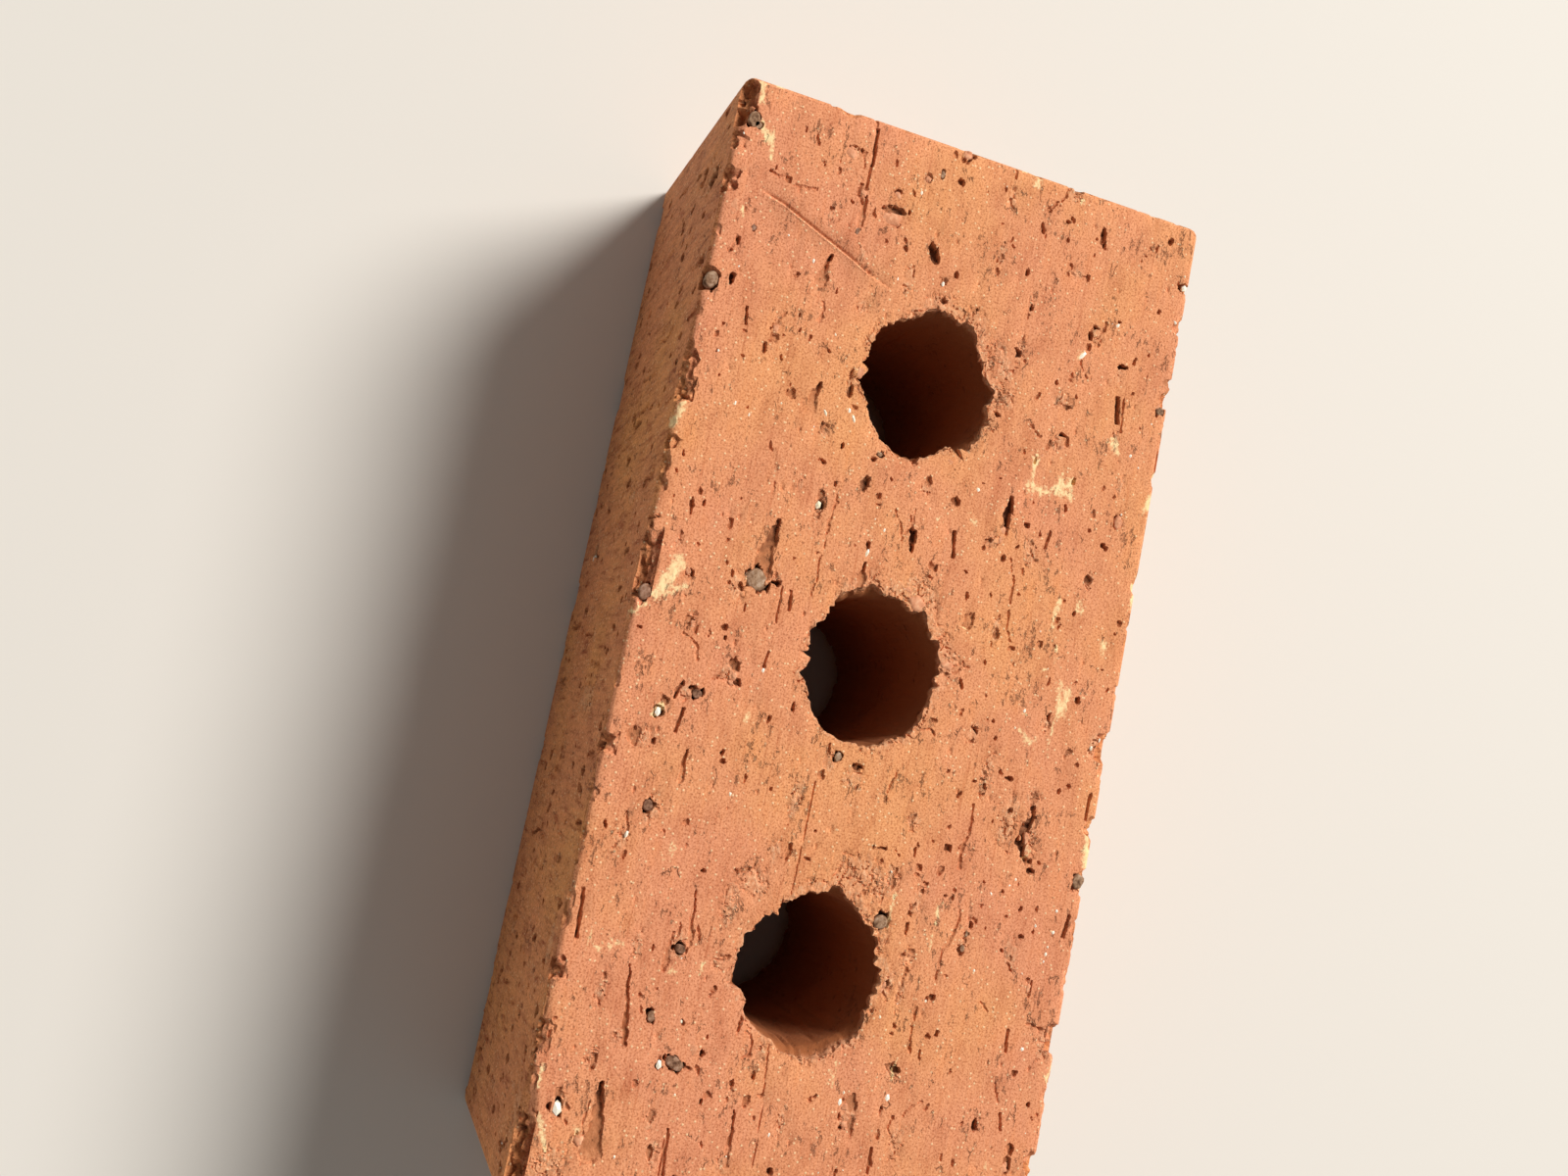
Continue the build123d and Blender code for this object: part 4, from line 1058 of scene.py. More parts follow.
# %% Core walls
wall_streak = 0.25  # how high the rods' streaks are
wall_wave = 0.3  # and the slower waves across them
mouth_height = 10.0  # how far up from the lower bed the mouths are torn
mouth_clod = 0.9  # how far their clods are pulled about
mouth_reach = 21.0  # the torn mouths are no wider than this, from the axis
in_core = np.zeros(len(points))
for core_x in rims:
    from_axis = points[:, :2] - (core_x, core_row)
    distance = np.hypot(*from_axis.T)
    inside = (depths["upper_bed"] > 0.6) & (distance < mouth_reach) & (depths["lower_bed"] > 0.05)
    near = np.nonzero(inside)[0]
    around = np.arctan2(from_axis[near, 1], from_axis[near, 0]) * core_radius
    up = depths["lower_bed"][near]
    wall = np.stack([around, up], 1)
    streaks = wall_streak * bumps(wall / (1, 8), 0.9, 61) + wall_wave * bumps(wall, 7.0, 62)
    gap, number = clods(wall, 3.0, 63)
    mouth = 1 - smooth_step(mouth_height - 2, mouth_height + 2, up + 1.5 * bumps(wall, 5.0, 64))
    push = streaks + mouth * mouth_clod * (number - 0.3 + (1 - smooth_step(0.1, 0.6, gap)))
    points[near, :2] += from_axis[near] / distance[near, None] * push[:, None]
    in_core[near] = smooth_step(0.6, 2.4, depths["upper_bed"][near])
    torn[near] = np.maximum(torn[near], mouth * 0.6)
points = np.clip(points, low, high)
print("points on core walls:", int((in_core > 0).sum()))

# %% [markdown]
# Streaks and pores
# Finer than any single mark, the whole skin has a grain: faint streaks the way the wire or the die
# went, and pores where sand grains fell out. This follows one rule everywhere, so Geometry Nodes make
# it. Each point carries two vectors: one that points into the clay, and its place on the face with
# the streaks along the first number. The other values that it carries are for the material.

# %% Values that a mesh carries
def write_points(mesh, points):
    """Puts changed points back into their mesh."""
    mesh.vertices.foreach_set("co", points.astype(np.float32).ravel())
    mesh.update()


def write_values(mesh, name, values):
    """Stores one number or one vector for each point of a mesh."""
    kind, field = ("FLOAT", "value") if values.ndim == 1 else ("FLOAT_VECTOR", "vector")
    layer = mesh.attributes.new(name, kind, "POINT")
    layer.data.foreach_set(field, values.astype(np.float32).ravel())


print("a mesh carries one number or one vector for each point")

# %% Each point's way into the clay and its place on the grain
turn_reach = 1.5  # this near an arris the way in turns from one face to the next
same = 1e-6
inward = np.zeros_like(points)
grain = np.zeros_like(points)
on_bed = np.zeros(len(points))
least = np.min([depths[name] for name in boards], axis=0)
for name, (axis, side, flat_axes, streaks) in boards.items():
    share = np.clip(1 - depths[name] / turn_reach, 0, 1)
    inward[:, axis] -= side * share
    mine = depths[name] <= least + same
    across_axis = flat_axes[0] if streaks == flat_axes[1] else flat_axes[1]
    grain[mine] = np.stack([points[mine, streaks], points[mine, across_axis], depths[name][mine]], 1)
    if name.endswith("bed"):
        on_bed[mine] = 1
inward /= np.maximum(np.linalg.norm(inward, axis=1, keepdims=True), 1)
inward *= (1 - in_core)[:, None]

write_points(dense, points)
for_nodes = {"inward": inward, "grain": grain}
for_clay = {"hollow": hollow, "torn": torn, "pale": pale, "in_core": in_core, "on_bed": on_bed}
for name, values in {**for_nodes, **for_clay}.items():
    write_values(dense, name, values)
print("each point carries", ", ".join((*for_nodes, *for_clay)))

# %% Trees with named inputs
def new_tree(name, **kinds):
    """A Geometry Nodes tree with its named inputs, and their values inside it."""
    tree = bpy.data.node_groups.new(name, "GeometryNodeTree")
    tree.interface.new_socket("Geometry", in_out="INPUT", socket_type="NodeSocketGeometry")
    for key, kind in kinds.items():
        title = key.replace("_", " ").title()
        tree.interface.new_socket(title, in_out="INPUT", socket_type=f"NodeSocket{kind}")
    tree.interface.new_socket("Geometry", in_out="OUTPUT", socket_type="NodeSocketGeometry")
    return tree, add_node(tree, "NodeGroupInput")


print("a tree's inputs are named sizes, such as Streak Depth")

# %% The tree that draws streaks and pores
streak_tree, given = new_tree(
    "streaks_and_pores", streak_depth="Float", streak_width="Float", streak_length="Float",
    pore_depth="Float", pore_spacing="Float", pore_share="Float", clay="Material",
)
at = {
    name: add_node(streak_tree, "GeometryNodeInputNamedAttribute", {"Name": name}, data_type=kind)[0]
    for name, kind in (("hollow", "FLOAT"), ("grain", "FLOAT_VECTOR"), ("inward", "FLOAT_VECTOR"))
}

per_length = add_node(streak_tree, "ShaderNodeMath", [1.0, given["Streak Length"]], operation="DIVIDE")
per_width = add_node(streak_tree, "ShaderNodeMath", [1.0, given["Streak Width"]], operation="DIVIDE")
per_streak = add_node(streak_tree, "ShaderNodeCombineXYZ", [per_length[0], per_width[0]])
place = add_node(streak_tree, "ShaderNodeVectorMath", [at["grain"], per_streak[0]], operation="MULTIPLY")
noise = add_node(
    streak_tree, "ShaderNodeTexNoise", {"Vector": place[0], "Scale": 1.0, "Detail": 1.0, "Roughness": 0.5}
)
streaks = add_node(streak_tree, "ShaderNodeMath", [noise[0], given["Streak Depth"]], operation="MULTIPLY")

per_pore = add_node(streak_tree, "ShaderNodeMath", [1.0, given["Pore Spacing"]], operation="DIVIDE")
long_pores = (0.55, 1.0, 0.0)  # drawn out along the streaks
place = add_node(streak_tree, "ShaderNodeVectorMath", [at["grain"], long_pores], operation="MULTIPLY")
place = add_node(
    streak_tree, "ShaderNodeVectorMath", {0: place[0], "Scale": per_pore[0]}, operation="SCALE"
)
cells = add_node(streak_tree, "ShaderNodeTexVoronoi", {"Vector": place[0], "Scale": 1.0})
pick = add_node(streak_tree, "FunctionNodeSeparateColor", [cells["Color"]])
real_pore = add_node(streak_tree, "ShaderNodeMath", [pick[0], given["Pore Share"]], operation="LESS_THAN")
pore_size = add_node(streak_tree, "ShaderNodeMath", [pick[1], 0.2, 0.12], operation="MULTIPLY_ADD")
pore = add_node(
    streak_tree, "ShaderNodeMapRange",
    {"Value": cells["Distance"], "From Min": 0.0, "From Max": pore_size[0], "To Min": 1.0, "To Max": 0.0},
    interpolation_type="SMOOTHSTEP",
)
pore = add_node(streak_tree, "ShaderNodeMath", [pore[0], given["Pore Depth"]], operation="MULTIPLY")
pore = add_node(streak_tree, "ShaderNodeMath", [pore[0], real_pore[0]], operation="MULTIPLY")

sunk = add_node(streak_tree, "ShaderNodeMath", [streaks[0], pore[0]], operation="ADD")
push = add_node(
    streak_tree, "ShaderNodeVectorMath", {0: at["inward"], "Scale": sunk[0]}, operation="SCALE"
)
moved = add_node(
    streak_tree, "GeometryNodeSetPosition", {"Geometry": given["Geometry"], "Offset": push[0]}
)
# Pores get the painted hollow shade too
deeper = add_node(streak_tree, "ShaderNodeMath", [at["hollow"], pore[0]], operation="MAXIMUM")
stored = add_node(
    streak_tree, "GeometryNodeStoreNamedAttribute",
    {"Geometry": moved[0], "Name": "hollow", "Value": deeper[0]}, data_type="FLOAT", domain="POINT",
)
real = add_node(streak_tree, "GeometryNodeRealizeInstances", [stored[0]])
clad = add_node(streak_tree, "GeometryNodeSetMaterial", {0: real[0], "Material": given["Clay"]})
add_node(streak_tree, "NodeGroupOutput", [clad[0]])
print("streaks and pores:", len(streak_tree.nodes), "nodes")

# %% Growing the streaks
def grow(piece, tree, **sizes):
    """Runs a tree on a piece with sizes for its named inputs, and keeps the plain mesh."""
    modifier = piece.modifiers.new(tree.name, "NODES")
    modifier.node_group = tree
    for item in tree.interface.items_tree:
        key = item.name.replace(" ", "_").lower()
        if item.item_type == "SOCKET" and item.in_out == "INPUT" and key in sizes:
            modifier[item.identifier] = sizes[key]
    return bake_modifiers(piece)


fired_clay, clay_tree = new_material("fired_terracotta_clay")
skin.data = dense
dense = grow(
    skin, streak_tree, streak_depth=0.025, streak_width=1.8, streak_length=9.0, pore_depth=0.45,
    pore_spacing=2.2, pore_share=0.22, clay=fired_clay,
)
points = np.clip(read_points(dense), low, high)
write_points(dense, points)
print("after streaks:", len(points), "points")

# %% [markdown]
# Fewer triangles where the skin is flat
# The dense mesh has over a million triangles, most of them on flat clay. Decimation joins those
# first. A vertex group says where the eye needs points: in marks, in torn zones and on rubs, and on
# the upper bed more than elsewhere.

# %% Decimate
most_triangles = 196000  # about as many triangles as the decimated skin keeps; a piece has to stay under 200,000
sharp_angle = 32.0  # degrees between two triangles from which their edge is shaded as a sharp one
top_layer = 4.0  # how far down the upper bed's marks and arrises are counted to the bed
rim_layer = 3.5  # how far down in the cores their ragged walls are seen
flat_need, marked_need = 0.02, 0.1  # how much a point is needed, from 0 to 1
top_flat_need, top_marked_need, top_hollow_need = 0.04, 0.5, 0.93
core_rim_need = 0.3
need_weight = 0.04  # how strongly the need counts against the shape

kept = {name: np.zeros(len(points), np.float32) for name in for_clay}
for name, values in kept.items():
    dense.attributes[name].data.foreach_get("value", values)
in_hole = kept["in_core"] > 0.5
from_top = high[2] - points[:, 2]
on_mark = kept["hollow"] > 0.12
marked = on_mark | (kept["pale"] > 0.03) | (kept["torn"] > 0.3)
need = np.where(marked, marked_need, flat_need)
top_need = np.where(on_mark, top_hollow_need, np.where(marked, top_marked_need, top_flat_need))
need = np.where((from_top < top_layer) & ~in_hole, top_need, need)
need = np.where(in_hole, np.where(from_top < rim_layer, core_rim_need, flat_need), need)
group = skin.vertex_groups.new(name="needed")
for level in np.unique(need.round(2)):
    group.add(np.nonzero(need.round(2) == level)[0].tolist(), float(level), "REPLACE")
fewer = skin.modifiers.new("fewer", "DECIMATE")
fewer.ratio = most_triangles / (2 * len(dense.polygons))
fewer.vertex_group = "needed"
fewer.invert_vertex_group = True
fewer.vertex_group_factor = need_weight
sparse = bake_modifiers(skin)
skin.vertex_groups.clear()
for name in for_nodes:
    sparse.attributes.remove(sparse.attributes[name])
points = read_points(sparse)
top_share = float((points[:, 2] > high[2] - top_layer).mean())
write_points(sparse, np.clip(points, low, high) * MM)
sparse.polygons.foreach_set("use_smooth", np.ones(len(sparse.polygons), bool))
sparse.set_sharp_from_angle(angle=np.radians(sharp_angle))
sparse.calc_loop_triangles()
print("skin:", len(sparse.loop_triangles), "triangles,", round(top_share, 2), "of its points near the top")

# %% [markdown]
# Grains in the clay
# Brick clay is full of grit. White quartz grains and grey stones sit in the pits that they made, and
# crumbs of clay lie loose in the torn places. Each kind starts as one small ball, put on many points
# by Geometry Nodes, stretched and turned for each point, and roughened by noise, so that no two are
# alike. Nothing in the tree is random: the noise is read at each stone's own place.

# %% The tree that sets grains
grain_tree, given = new_tree(
    "set_grains", roughness="Float", bump_size="Float", facets="Int", stone="Material"
)
stone = add_node(
    grain_tree, "GeometryNodeMeshIcoSphere", {"Radius": 0.5, "Subdivisions": given["Facets"]}
)
at = {
    name: add_node(
        grain_tree, "GeometryNodeInputNamedAttribute", {"Name": name}, data_type="FLOAT_VECTOR"
    )[0]
    for name in ("size", "turn")
}
stones = add_node(
    grain_tree, "GeometryNodeInstanceOnPoints",
    {"Points": given["Geometry"], "Instance": stone[0], "Rotation": at["turn"], "Scale": at["size"]},
)
real = add_node(grain_tree, "GeometryNodeRealizeInstances", [stones[0]])
place_at = add_node(grain_tree, "GeometryNodeInputPosition")
spacing = add_node(grain_tree, "ShaderNodeMath", [1.0, given["Bump Size"]], operation="DIVIDE")
lumps = add_node(
    grain_tree, "ShaderNodeTexNoise", {"Vector": place_at[0], "Scale": spacing[0], "Detail": 2.0}
)
centred = add_node(grain_tree, "ShaderNodeMath", [lumps[0], 0.5], operation="SUBTRACT")
amount = add_node(grain_tree, "ShaderNodeMath", [centred[0], given["Roughness"]], operation="MULTIPLY")
outward = add_node(grain_tree, "GeometryNodeInputNormal")
push = add_node(
    grain_tree, "ShaderNodeVectorMath", {0: outward[0], "Scale": amount[0]}, operation="SCALE"
)
rough_stones = add_node(grain_tree, "GeometryNodeSetPosition", {"Geometry": real[0], "Offset": push[0]})
real = add_node(grain_tree, "GeometryNodeRealizeInstances", [rough_stones[0]])
clad = add_node(grain_tree, "GeometryNodeSetMaterial", {0: real[0], "Material": given["Stone"]})
add_node(grain_tree, "NodeGroupOutput", [clad[0]])
print("set grains:", len(grain_tree.nodes), "nodes")

# %% Placing grains
bedded = 0.3  # a grain's middle lies lower than its pit's level by this share of its height
face_margin = 1.5  # sprinkled grains keep this far from the arrises
upper_clear, lower_clear = 18, 22  # and this far from a core's axis, on each bed


def grain_points(upright_axis, side, rows, sunk, squat):
    """Points for grains that lie on a face: each with a size and a turn."""
    flat_axes = [axis for axis in range(3) if axis != upright_axis]
    level = high[upright_axis] if side > 0 else low[upright_axis]
    places, sizes, turns = [], [], []
    for x, y, long, wide, *turn in rows:
        tall = min(long, wide) * squat
        place = [0.0, 0.0, 0.0]
        place[flat_axes[0]], place[flat_axes[1]] = x, y
        place[upright_axis] = level - side * (sunk + bedded * tall)
        size = [0.0, 0.0, 0.0]
        size[flat_axes[0]], size[flat_axes[1]], size[upright_axis] = long, wide, tall
        angle = [0.0, 0.0, 0.0]
        angle[upright_axis] = np.radians(turn[0] if turn else 0) * (-1 if upright_axis == 1 else 1)
        places.append(place)
        sizes.append(size)
        turns.append(angle)
    return places, sizes, turns


def set_grains(name, groups, stone, flush, rounded, **shape):
    """One piece with all grains of a kind, cut off by the wire `flush` mm under the brick's faces."""
    places, sizes, turns = (sum((group[i] for group in groups), []) for i in range(3))
    mesh = bpy.data.meshes.new(name)
    mesh.from_pydata(places, [], [])
    write_values(mesh, "size", np.array(sizes))
    write_values(mesh, "turn", np.array(turns))
    piece = new_object(name, mesh)
    made = grow(piece, grain_tree, stone=stone, **shape)
    write_points(made, np.clip(read_points(made), low + flush, high - flush) * MM)
    made.polygons.foreach_set("use_smooth", np.full(len(made.polygons), rounded))
    print(name, len(places), "grains,", len(made.polygons), "triangles")
    return piece


def sprinkled(name, seed, count, sizes, chances):
    """Small grains at random places on a face, clear of the cores."""
    dice = np.random.default_rng(seed)
    axis, side, flat_axes, _ = boards[name]
    start, end = low[list(flat_axes)] + face_margin, high[list(flat_axes)] - face_margin
    rows = []
    while len(rows) < count:
        x, y = dice.uniform(start, end)
        size = dice.choice(sizes, p=chances)
        row = (x, y, size * dice.uniform(0.9, 1.6), size * dice.uniform(0.6, 1.0), dice.uniform(-40, 40))
        core_gap = min(np.hypot(x - core_x, y - core_row) for core_x in rims)
        if axis != 2 or core_gap > (upper_clear if side > 0 else lower_clear):
            rows.append(row)
    return grain_points(axis, side, rows, 0.25, 0.8)


print("sprinkled grains lie", face_margin, "mm or more from the arrises")

# %% [markdown]
# Fired clay
# Terracotta is clay with iron in it, fired at about 1000 degrees. It is matt and a little rough, and
# its orange is never even: the hue drifts over centimetres with the clay and the heat, and over a
# millimetre with the sand in it. Hollows get painted shade, darker the deeper they are, torn places
# are mottled dark and pale, and lime rubs are pale yellow. The walls of the cores get the darkest
# painted shade. Every pattern is procedural, and its scale comes from a size on the real brick. The walls
# of the
# cores fired darkest. Every pattern is procedural, and its scale comes from a size on the real brick.

# %% Where the clay's patterns are read, in mm
tree = clay_tree
object_place = add_node(tree, "ShaderNodeTexCoord")["Object"]
mm_place = add_node(tree, "ShaderNodeVectorMath", {0: object_place, "Scale": 1 / MM}, operation="SCALE")[0]
carried = {
    name: add_node(tree, "ShaderNodeAttribute", attribute_name=name)["Fac"] for name in for_clay
}
is_bed = add_node(tree, "ShaderNodeMath", [carried["on_bed"], 0.5], operation="GREATER_THAN")[0]
drawn_out = {
    # name: how much the pattern shrinks on x, y and z: on the sides first, then on the beds
    "grain": ((1.0, 1.0, 0.4), (0.45, 1.0, 1.0)),
    "streaks": ((1.0, 1.0, 0.14), (0.05, 1.4, 1.0)),
}
drawn = {}
for name, shrunk in drawn_out.items():
    on_side, on_top = (
        add_node(tree, "ShaderNodeVectorMath", [mm_place, factors], operation="MULTIPLY")[0]
        for factors in shrunk
    )
    drawn[name] = add_node(tree, "ShaderNodeMix", {0: is_bed, 4: on_side, 5: on_top}, data_type="VECTOR")[1]
print("patterns run along x on the beds and along z on the sides")

# %% The clay's patterns
patterns = {
    # name: (where it is read, size in mm, detail, roughness)
    "drift": (mm_place, 30, 3.0, 0.5),  # the hue, over centimetres
    "patches": (drawn["grain"], 5, 6.0, 0.7),  # uneven mixing
    "grit": (mm_place, 0.4, 2.0, 0.6),  # the finest sand, drawn a little coarser so that it shows
    "streaks": (drawn["streaks"], 1.3, 4.0, 0.7),  # from one line of the wire or the die to the next
    "clusters": (mm_place, 9, 3.0, 0.5),  # where dark grains and flecks gather
    "flecks": (drawn["grain"], 1.2, 5.0, 0.75),  # the smallest plucks
    "open": (mm_place, 4, 2.0, 0.5),  # the stretches where hairline cracks stand open
    "fine": (drawn["grain"], 0.55, 5.0, 0.72),  # the sand in torn and rubbed clay
    "fray": (mm_place, 0.9, 5.0, 0.75),  # the ragged edges of hollows and rubs
}
noise = {
    name: add_node(
        tree, "ShaderNodeTexNoise",
        {"Vector": place, "Scale": 1 / size, "Detail": detail, "Roughness": rough},
    )[0]
    for name, (place, size, detail, rough) in patterns.items()
}
print("patterns, mm:", {name: row[1] for name, row in patterns.items()})

# %% The clay's colour: warmer in the middle of the bed, pinker towards its ends
warm_middle = (-10.0, 14.0, 22.0)  # in a frame squeezed along x and z
squeezed = add_node(tree, "ShaderNodeVectorMath", [mm_place, (0.6, 1.0, 0.3)], operation="MULTIPLY")[0]
from_middle = add_node(tree, "ShaderNodeVectorMath", [squeezed, warm_middle], operation="DISTANCE")
warmth = add_node(
    tree, "ShaderNodeMapRange",
    {"Value": from_middle["Value"], "From Min": 62.0, "From Max": 8.0, "To Min": -0.08, "To Max": 0.05},
)[0]
drift = add_node(tree, "ShaderNodeMath", [noise["drift"], warmth], operation="ADD")[0]
body = add_node(
    tree, "ShaderNodeValToRGB", [drift],
    ramp=((0.32, "e99d74"), (0.46, "eba173"), (0.56, "eca471"), (0.7, "eea871")),
)[0]
print("the hue drifts over", patterns["drift"][1], "mm")

# %% Uneven mixing, grit, and the lines of the wire and the die
shades = {
    # name: (pattern, its stops)
    "patches": ("patches", ((0.3, "e9dcd6"), (0.52, "ffffff"), (0.72, "fff8ef"))),
    "grit": ("grit", ((0.34, "cab4a6"), (0.48, "f2ebe5"), (0.64, "ffffff"))),
    "die": ("streaks", ((0.3, "b8916f"), (0.46, "efeedc"), (0.66, "fffce2"))),  # the die's streaks, with a browner tint that paints the brown bounce light on the sides
    "wire": ("streaks", ((0.3, "ecdcd1"), (0.45, "ffffff"), (0.68, "fffaf3"))),
}
shade = {
    name: add_node(tree, "ShaderNodeValToRGB", [noise[pattern]], ramp=stops)[0]
    for name, (pattern, stops) in shades.items()
}
shade["streaks"] = add_node(
    tree, "ShaderNodeMix", {0: is_bed, 6: shade["die"], 7: shade["wire"]}, data_type="RGBA"
)[2]
for name in ("patches", "grit", "streaks"):
    body = add_node(
        tree, "ShaderNodeMix", {0: 1.0, 6: body, 7: shade[name]}, data_type="RGBA", blend_type="MULTIPLY"
    )[2]
print("base colour:", len(tree.nodes), "nodes")

# %% Sand: pale and dark specks about half a millimetre wide
sand_size = 0.85  # mm from one grain to the next
sand = add_node(tree, "ShaderNodeTexVoronoi", {"Vector": mm_place, "Scale": 1 / sand_size})
sand_pick = add_node(tree, "ShaderNodeSeparateColor", [sand["Color"]])
speck = add_node(
    tree, "ShaderNodeMapRange", {"Value": sand["Distance"], "From Min": 0.34, "From Max": 0.16}
)[0]
is_pale = add_node(tree, "ShaderNodeMath", [sand_pick[0], 0.8], operation="GREATER_THAN")[0]
pale_speck = add_node(tree, "ShaderNodeMath", [speck, is_pale], operation="MULTIPLY")[0]
in_cluster = add_node(
    tree, "ShaderNodeMapRange", {"Value": noise["clusters"], "From Min": 0.44, "From Max": 0.66}
)[0]
is_dark = add_node(tree, "ShaderNodeMath", [sand_pick[1], 0.84], operation="GREATER_THAN")[0]
is_dark = add_node(tree, "ShaderNodeMath", [is_dark, in_cluster], operation="MULTIPLY")[0]
dark_speck = add_node(tree, "ShaderNodeMath", [speck, is_dark], operation="MULTIPLY")[0]
print("with sand:", len(tree.nodes), "nodes")

# %% Flecks: the smallest plucks, drawn out along the grain and gathered in clusters
# The flecks' dark colour is painted shade in plucks too small for the mesh; the relief further down dents
# them too.
fleck = add_node(
    tree, "ShaderNodeMath", [noise["clusters"], 0.5, noise["flecks"]], operation="MULTIPLY_ADD"
)[0]
fleck = add_node(tree, "ShaderNodeMapRange", {"Value": fleck, "From Min": 0.89, "From Max": 0.95})[0]
fleck_share = add_node(tree, "ShaderNodeMath", [is_bed, -0.25, 0.6], operation="MULTIPLY_ADD")[0]
print("flecks are about", patterns["flecks"][1], "mm wide")

# %% Hairline cracks: broken lines between lumps of clay, a few more of them in torn places
bend_size, lump_size = 1.4, 1.9  # mm
bend = add_node(tree, "ShaderNodeTexNoise", {"Vector": mm_place, "Scale": 1 / bend_size, "Detail": 3.0})
bent = add_node(
    tree, "ShaderNodeVectorMath", [bend["Color"], (1.5, 1.5, 1.5), drawn["grain"]],
    operation="MULTIPLY_ADD",
)[0]
lumps = add_node(
    tree, "ShaderNodeTexVoronoi", {"Vector": bent, "Scale": 1 / lump_size}, feature="DISTANCE_TO_EDGE"
)["Distance"]
hairline = add_node(tree, "ShaderNodeMapRange", {"Value": lumps, "From Min": 0.06, "From Max": 0.01})[0]
is_open = add_node(
    tree, "ShaderNodeMath", [carried["torn"], 0.04, noise["open"]], operation="MULTIPLY_ADD"
)[0]
is_open = add_node(tree, "ShaderNodeMapRange", {"Value": is_open, "From Min": 0.64, "From Max": 0.72})[0]
hairline = add_node(tree, "ShaderNodeMath", [hairline, is_open], operation="MULTIPLY")[0]
print("hairlines run round lumps of", lump_size, "mm")

# %% Laying them over the body
for mask, share, code in (
    (pale_speck, 0.72, "fcd8a6"), (dark_speck, 0.7, "9a5836"), (fleck, fleck_share, "9c4f2a"),
    (hairline, 0.5, "7d4020"),
):
    part = add_node(tree, "ShaderNodeMath", [mask, share], operation="MULTIPLY")[0]
    body = add_node(tree, "ShaderNodeMix", {0: part, 6: body, 7: srgb(code)}, data_type="RGBA")[2]
print("with sand, flecks and hairlines:", len(tree.nodes), "nodes")

# %% Torn places, painted shade in hollows and core walls, and rubs
torn_mask = add_node(tree, "ShaderNodeMath", [carried["torn"], noise["fray"]], operation="MULTIPLY")[0]
torn_mask = add_node(
    tree, "ShaderNodeMapRange", {"Value": torn_mask, "From Min": 0.3, "From Max": 0.62, "To Max": 0.55}
)[0]
torn_clay = add_node(
    tree, "ShaderNodeValToRGB", [noise["fine"]],
    ramp=((0.36, "b26c44"), (0.46, "ea9f72"), (0.6, "fed3a6")),
)[0]
body = add_node(tree, "ShaderNodeMix", {0: torn_mask, 6: body, 7: torn_clay}, data_type="RGBA")[2]
# Painted shade in hollows: the deeper a mark, the darker its colour, standing in for the shade that falls
# in it.
fray_swing = add_node(tree, "ShaderNodeMath", [noise["fray"], 0.6, -0.3], operation="MULTIPLY_ADD")[0]
hollow_shade_depth = add_node(tree, "ShaderNodeMath", [carried["hollow"], fray_swing], operation="ADD")[0]
for rim_depth, floor_depth, share, code in ((0.2, 0.75, 0.76, "a3633c"), (0.8, 1.35, 0.9, "4a210d")):
    mask = add_node(
        tree, "ShaderNodeMapRange",
        {"Value": hollow_shade_depth, "From Min": rim_depth, "From Max": floor_depth, "To Max": share},
    )[0]
    body = add_node(tree, "ShaderNodeMix", {0: mask, 6: body, 7: srgb(code)}, data_type="RGBA")[2]
# Pale: the lime rubs, and the painted highlight along the scratch's lip
pale_swing = add_node(tree, "ShaderNodeMath", [noise["fray"], 2.6, -1.4], operation="MULTIPLY_ADD")[0]
pale_edge = add_node(tree, "ShaderNodeMath", [carried["pale"], pale_swing], operation="ADD")[0]
pale_mask = add_node(
    tree, "ShaderNodeMapRange", {"Value": pale_edge, "From Min": 0.4, "From Max": 0.85, "To Max": 0.95}
)[0]
rub_and_highlight_colour = add_node(
    tree, "ShaderNodeValToRGB", [noise["fine"]], ramp=((0.35, "eab985"), (0.55, "fbdea4"))
)[0]
body = add_node(tree, "ShaderNodeMix", {0: pale_mask, 6: body, 7: rub_and_highlight_colour}, data_type="RGBA")[2]
# Painted shade inside the cores: their walls are darkened towards a deep brown.
core_shade_mask = add_node(tree, "ShaderNodeMath", [carried["in_core"], 0.92], operation="MULTIPLY")[0]
body = add_node(tree, "ShaderNodeMix", {0: core_shade_mask, 6: body, 7: srgb("99562c")}, data_type="RGBA")[2]
print("with marks:", len(tree.nodes), "nodes")

# %% Relief too fine for the mesh
relief_height = 0.14  # mm
fine_height = add_node(tree, "ShaderNodeMath", [noise["fray"], noise["fine"]], operation="ADD")[0]
tear_height = add_node(tree, "ShaderNodeMath", [carried["torn"], 1.0, 0.8], operation="MULTIPLY_ADD")[0]
fine_height = add_node(tree, "ShaderNodeMath", [fine_height, tear_height], operation="MULTIPLY")[0]
for dent, depth in ((dark_speck, -1.0), (pale_speck, 0.4), (fleck, -2.0), (hairline, -2.0)):
    fine_height = add_node(
        tree, "ShaderNodeMath", [dent, depth, fine_height], operation="MULTIPLY_ADD"
    )[0]
relief = add_node(
    tree, "ShaderNodeBump", {"Strength": 1.0, "Distance": relief_height * MM, "Height": fine_height}
)[0]
shader = add_node(
    tree, "ShaderNodeBsdfPrincipled",
    {"Base Color": body, "Roughness": 0.9, "Specular IOR Level": 0.3, "Normal": relief},
)
add_node(tree, "ShaderNodeOutputMaterial", {"Surface": shader[0]})
print("fired clay:", len(tree.nodes), "nodes")

# %% [markdown]
# The stones' own materials
# Quartz is white and a little glossy where the wire has split it. The grey stones are river gravel
# with faint bands. The crumbs are the same clay as the body, but loose, so they are mottled and rough.

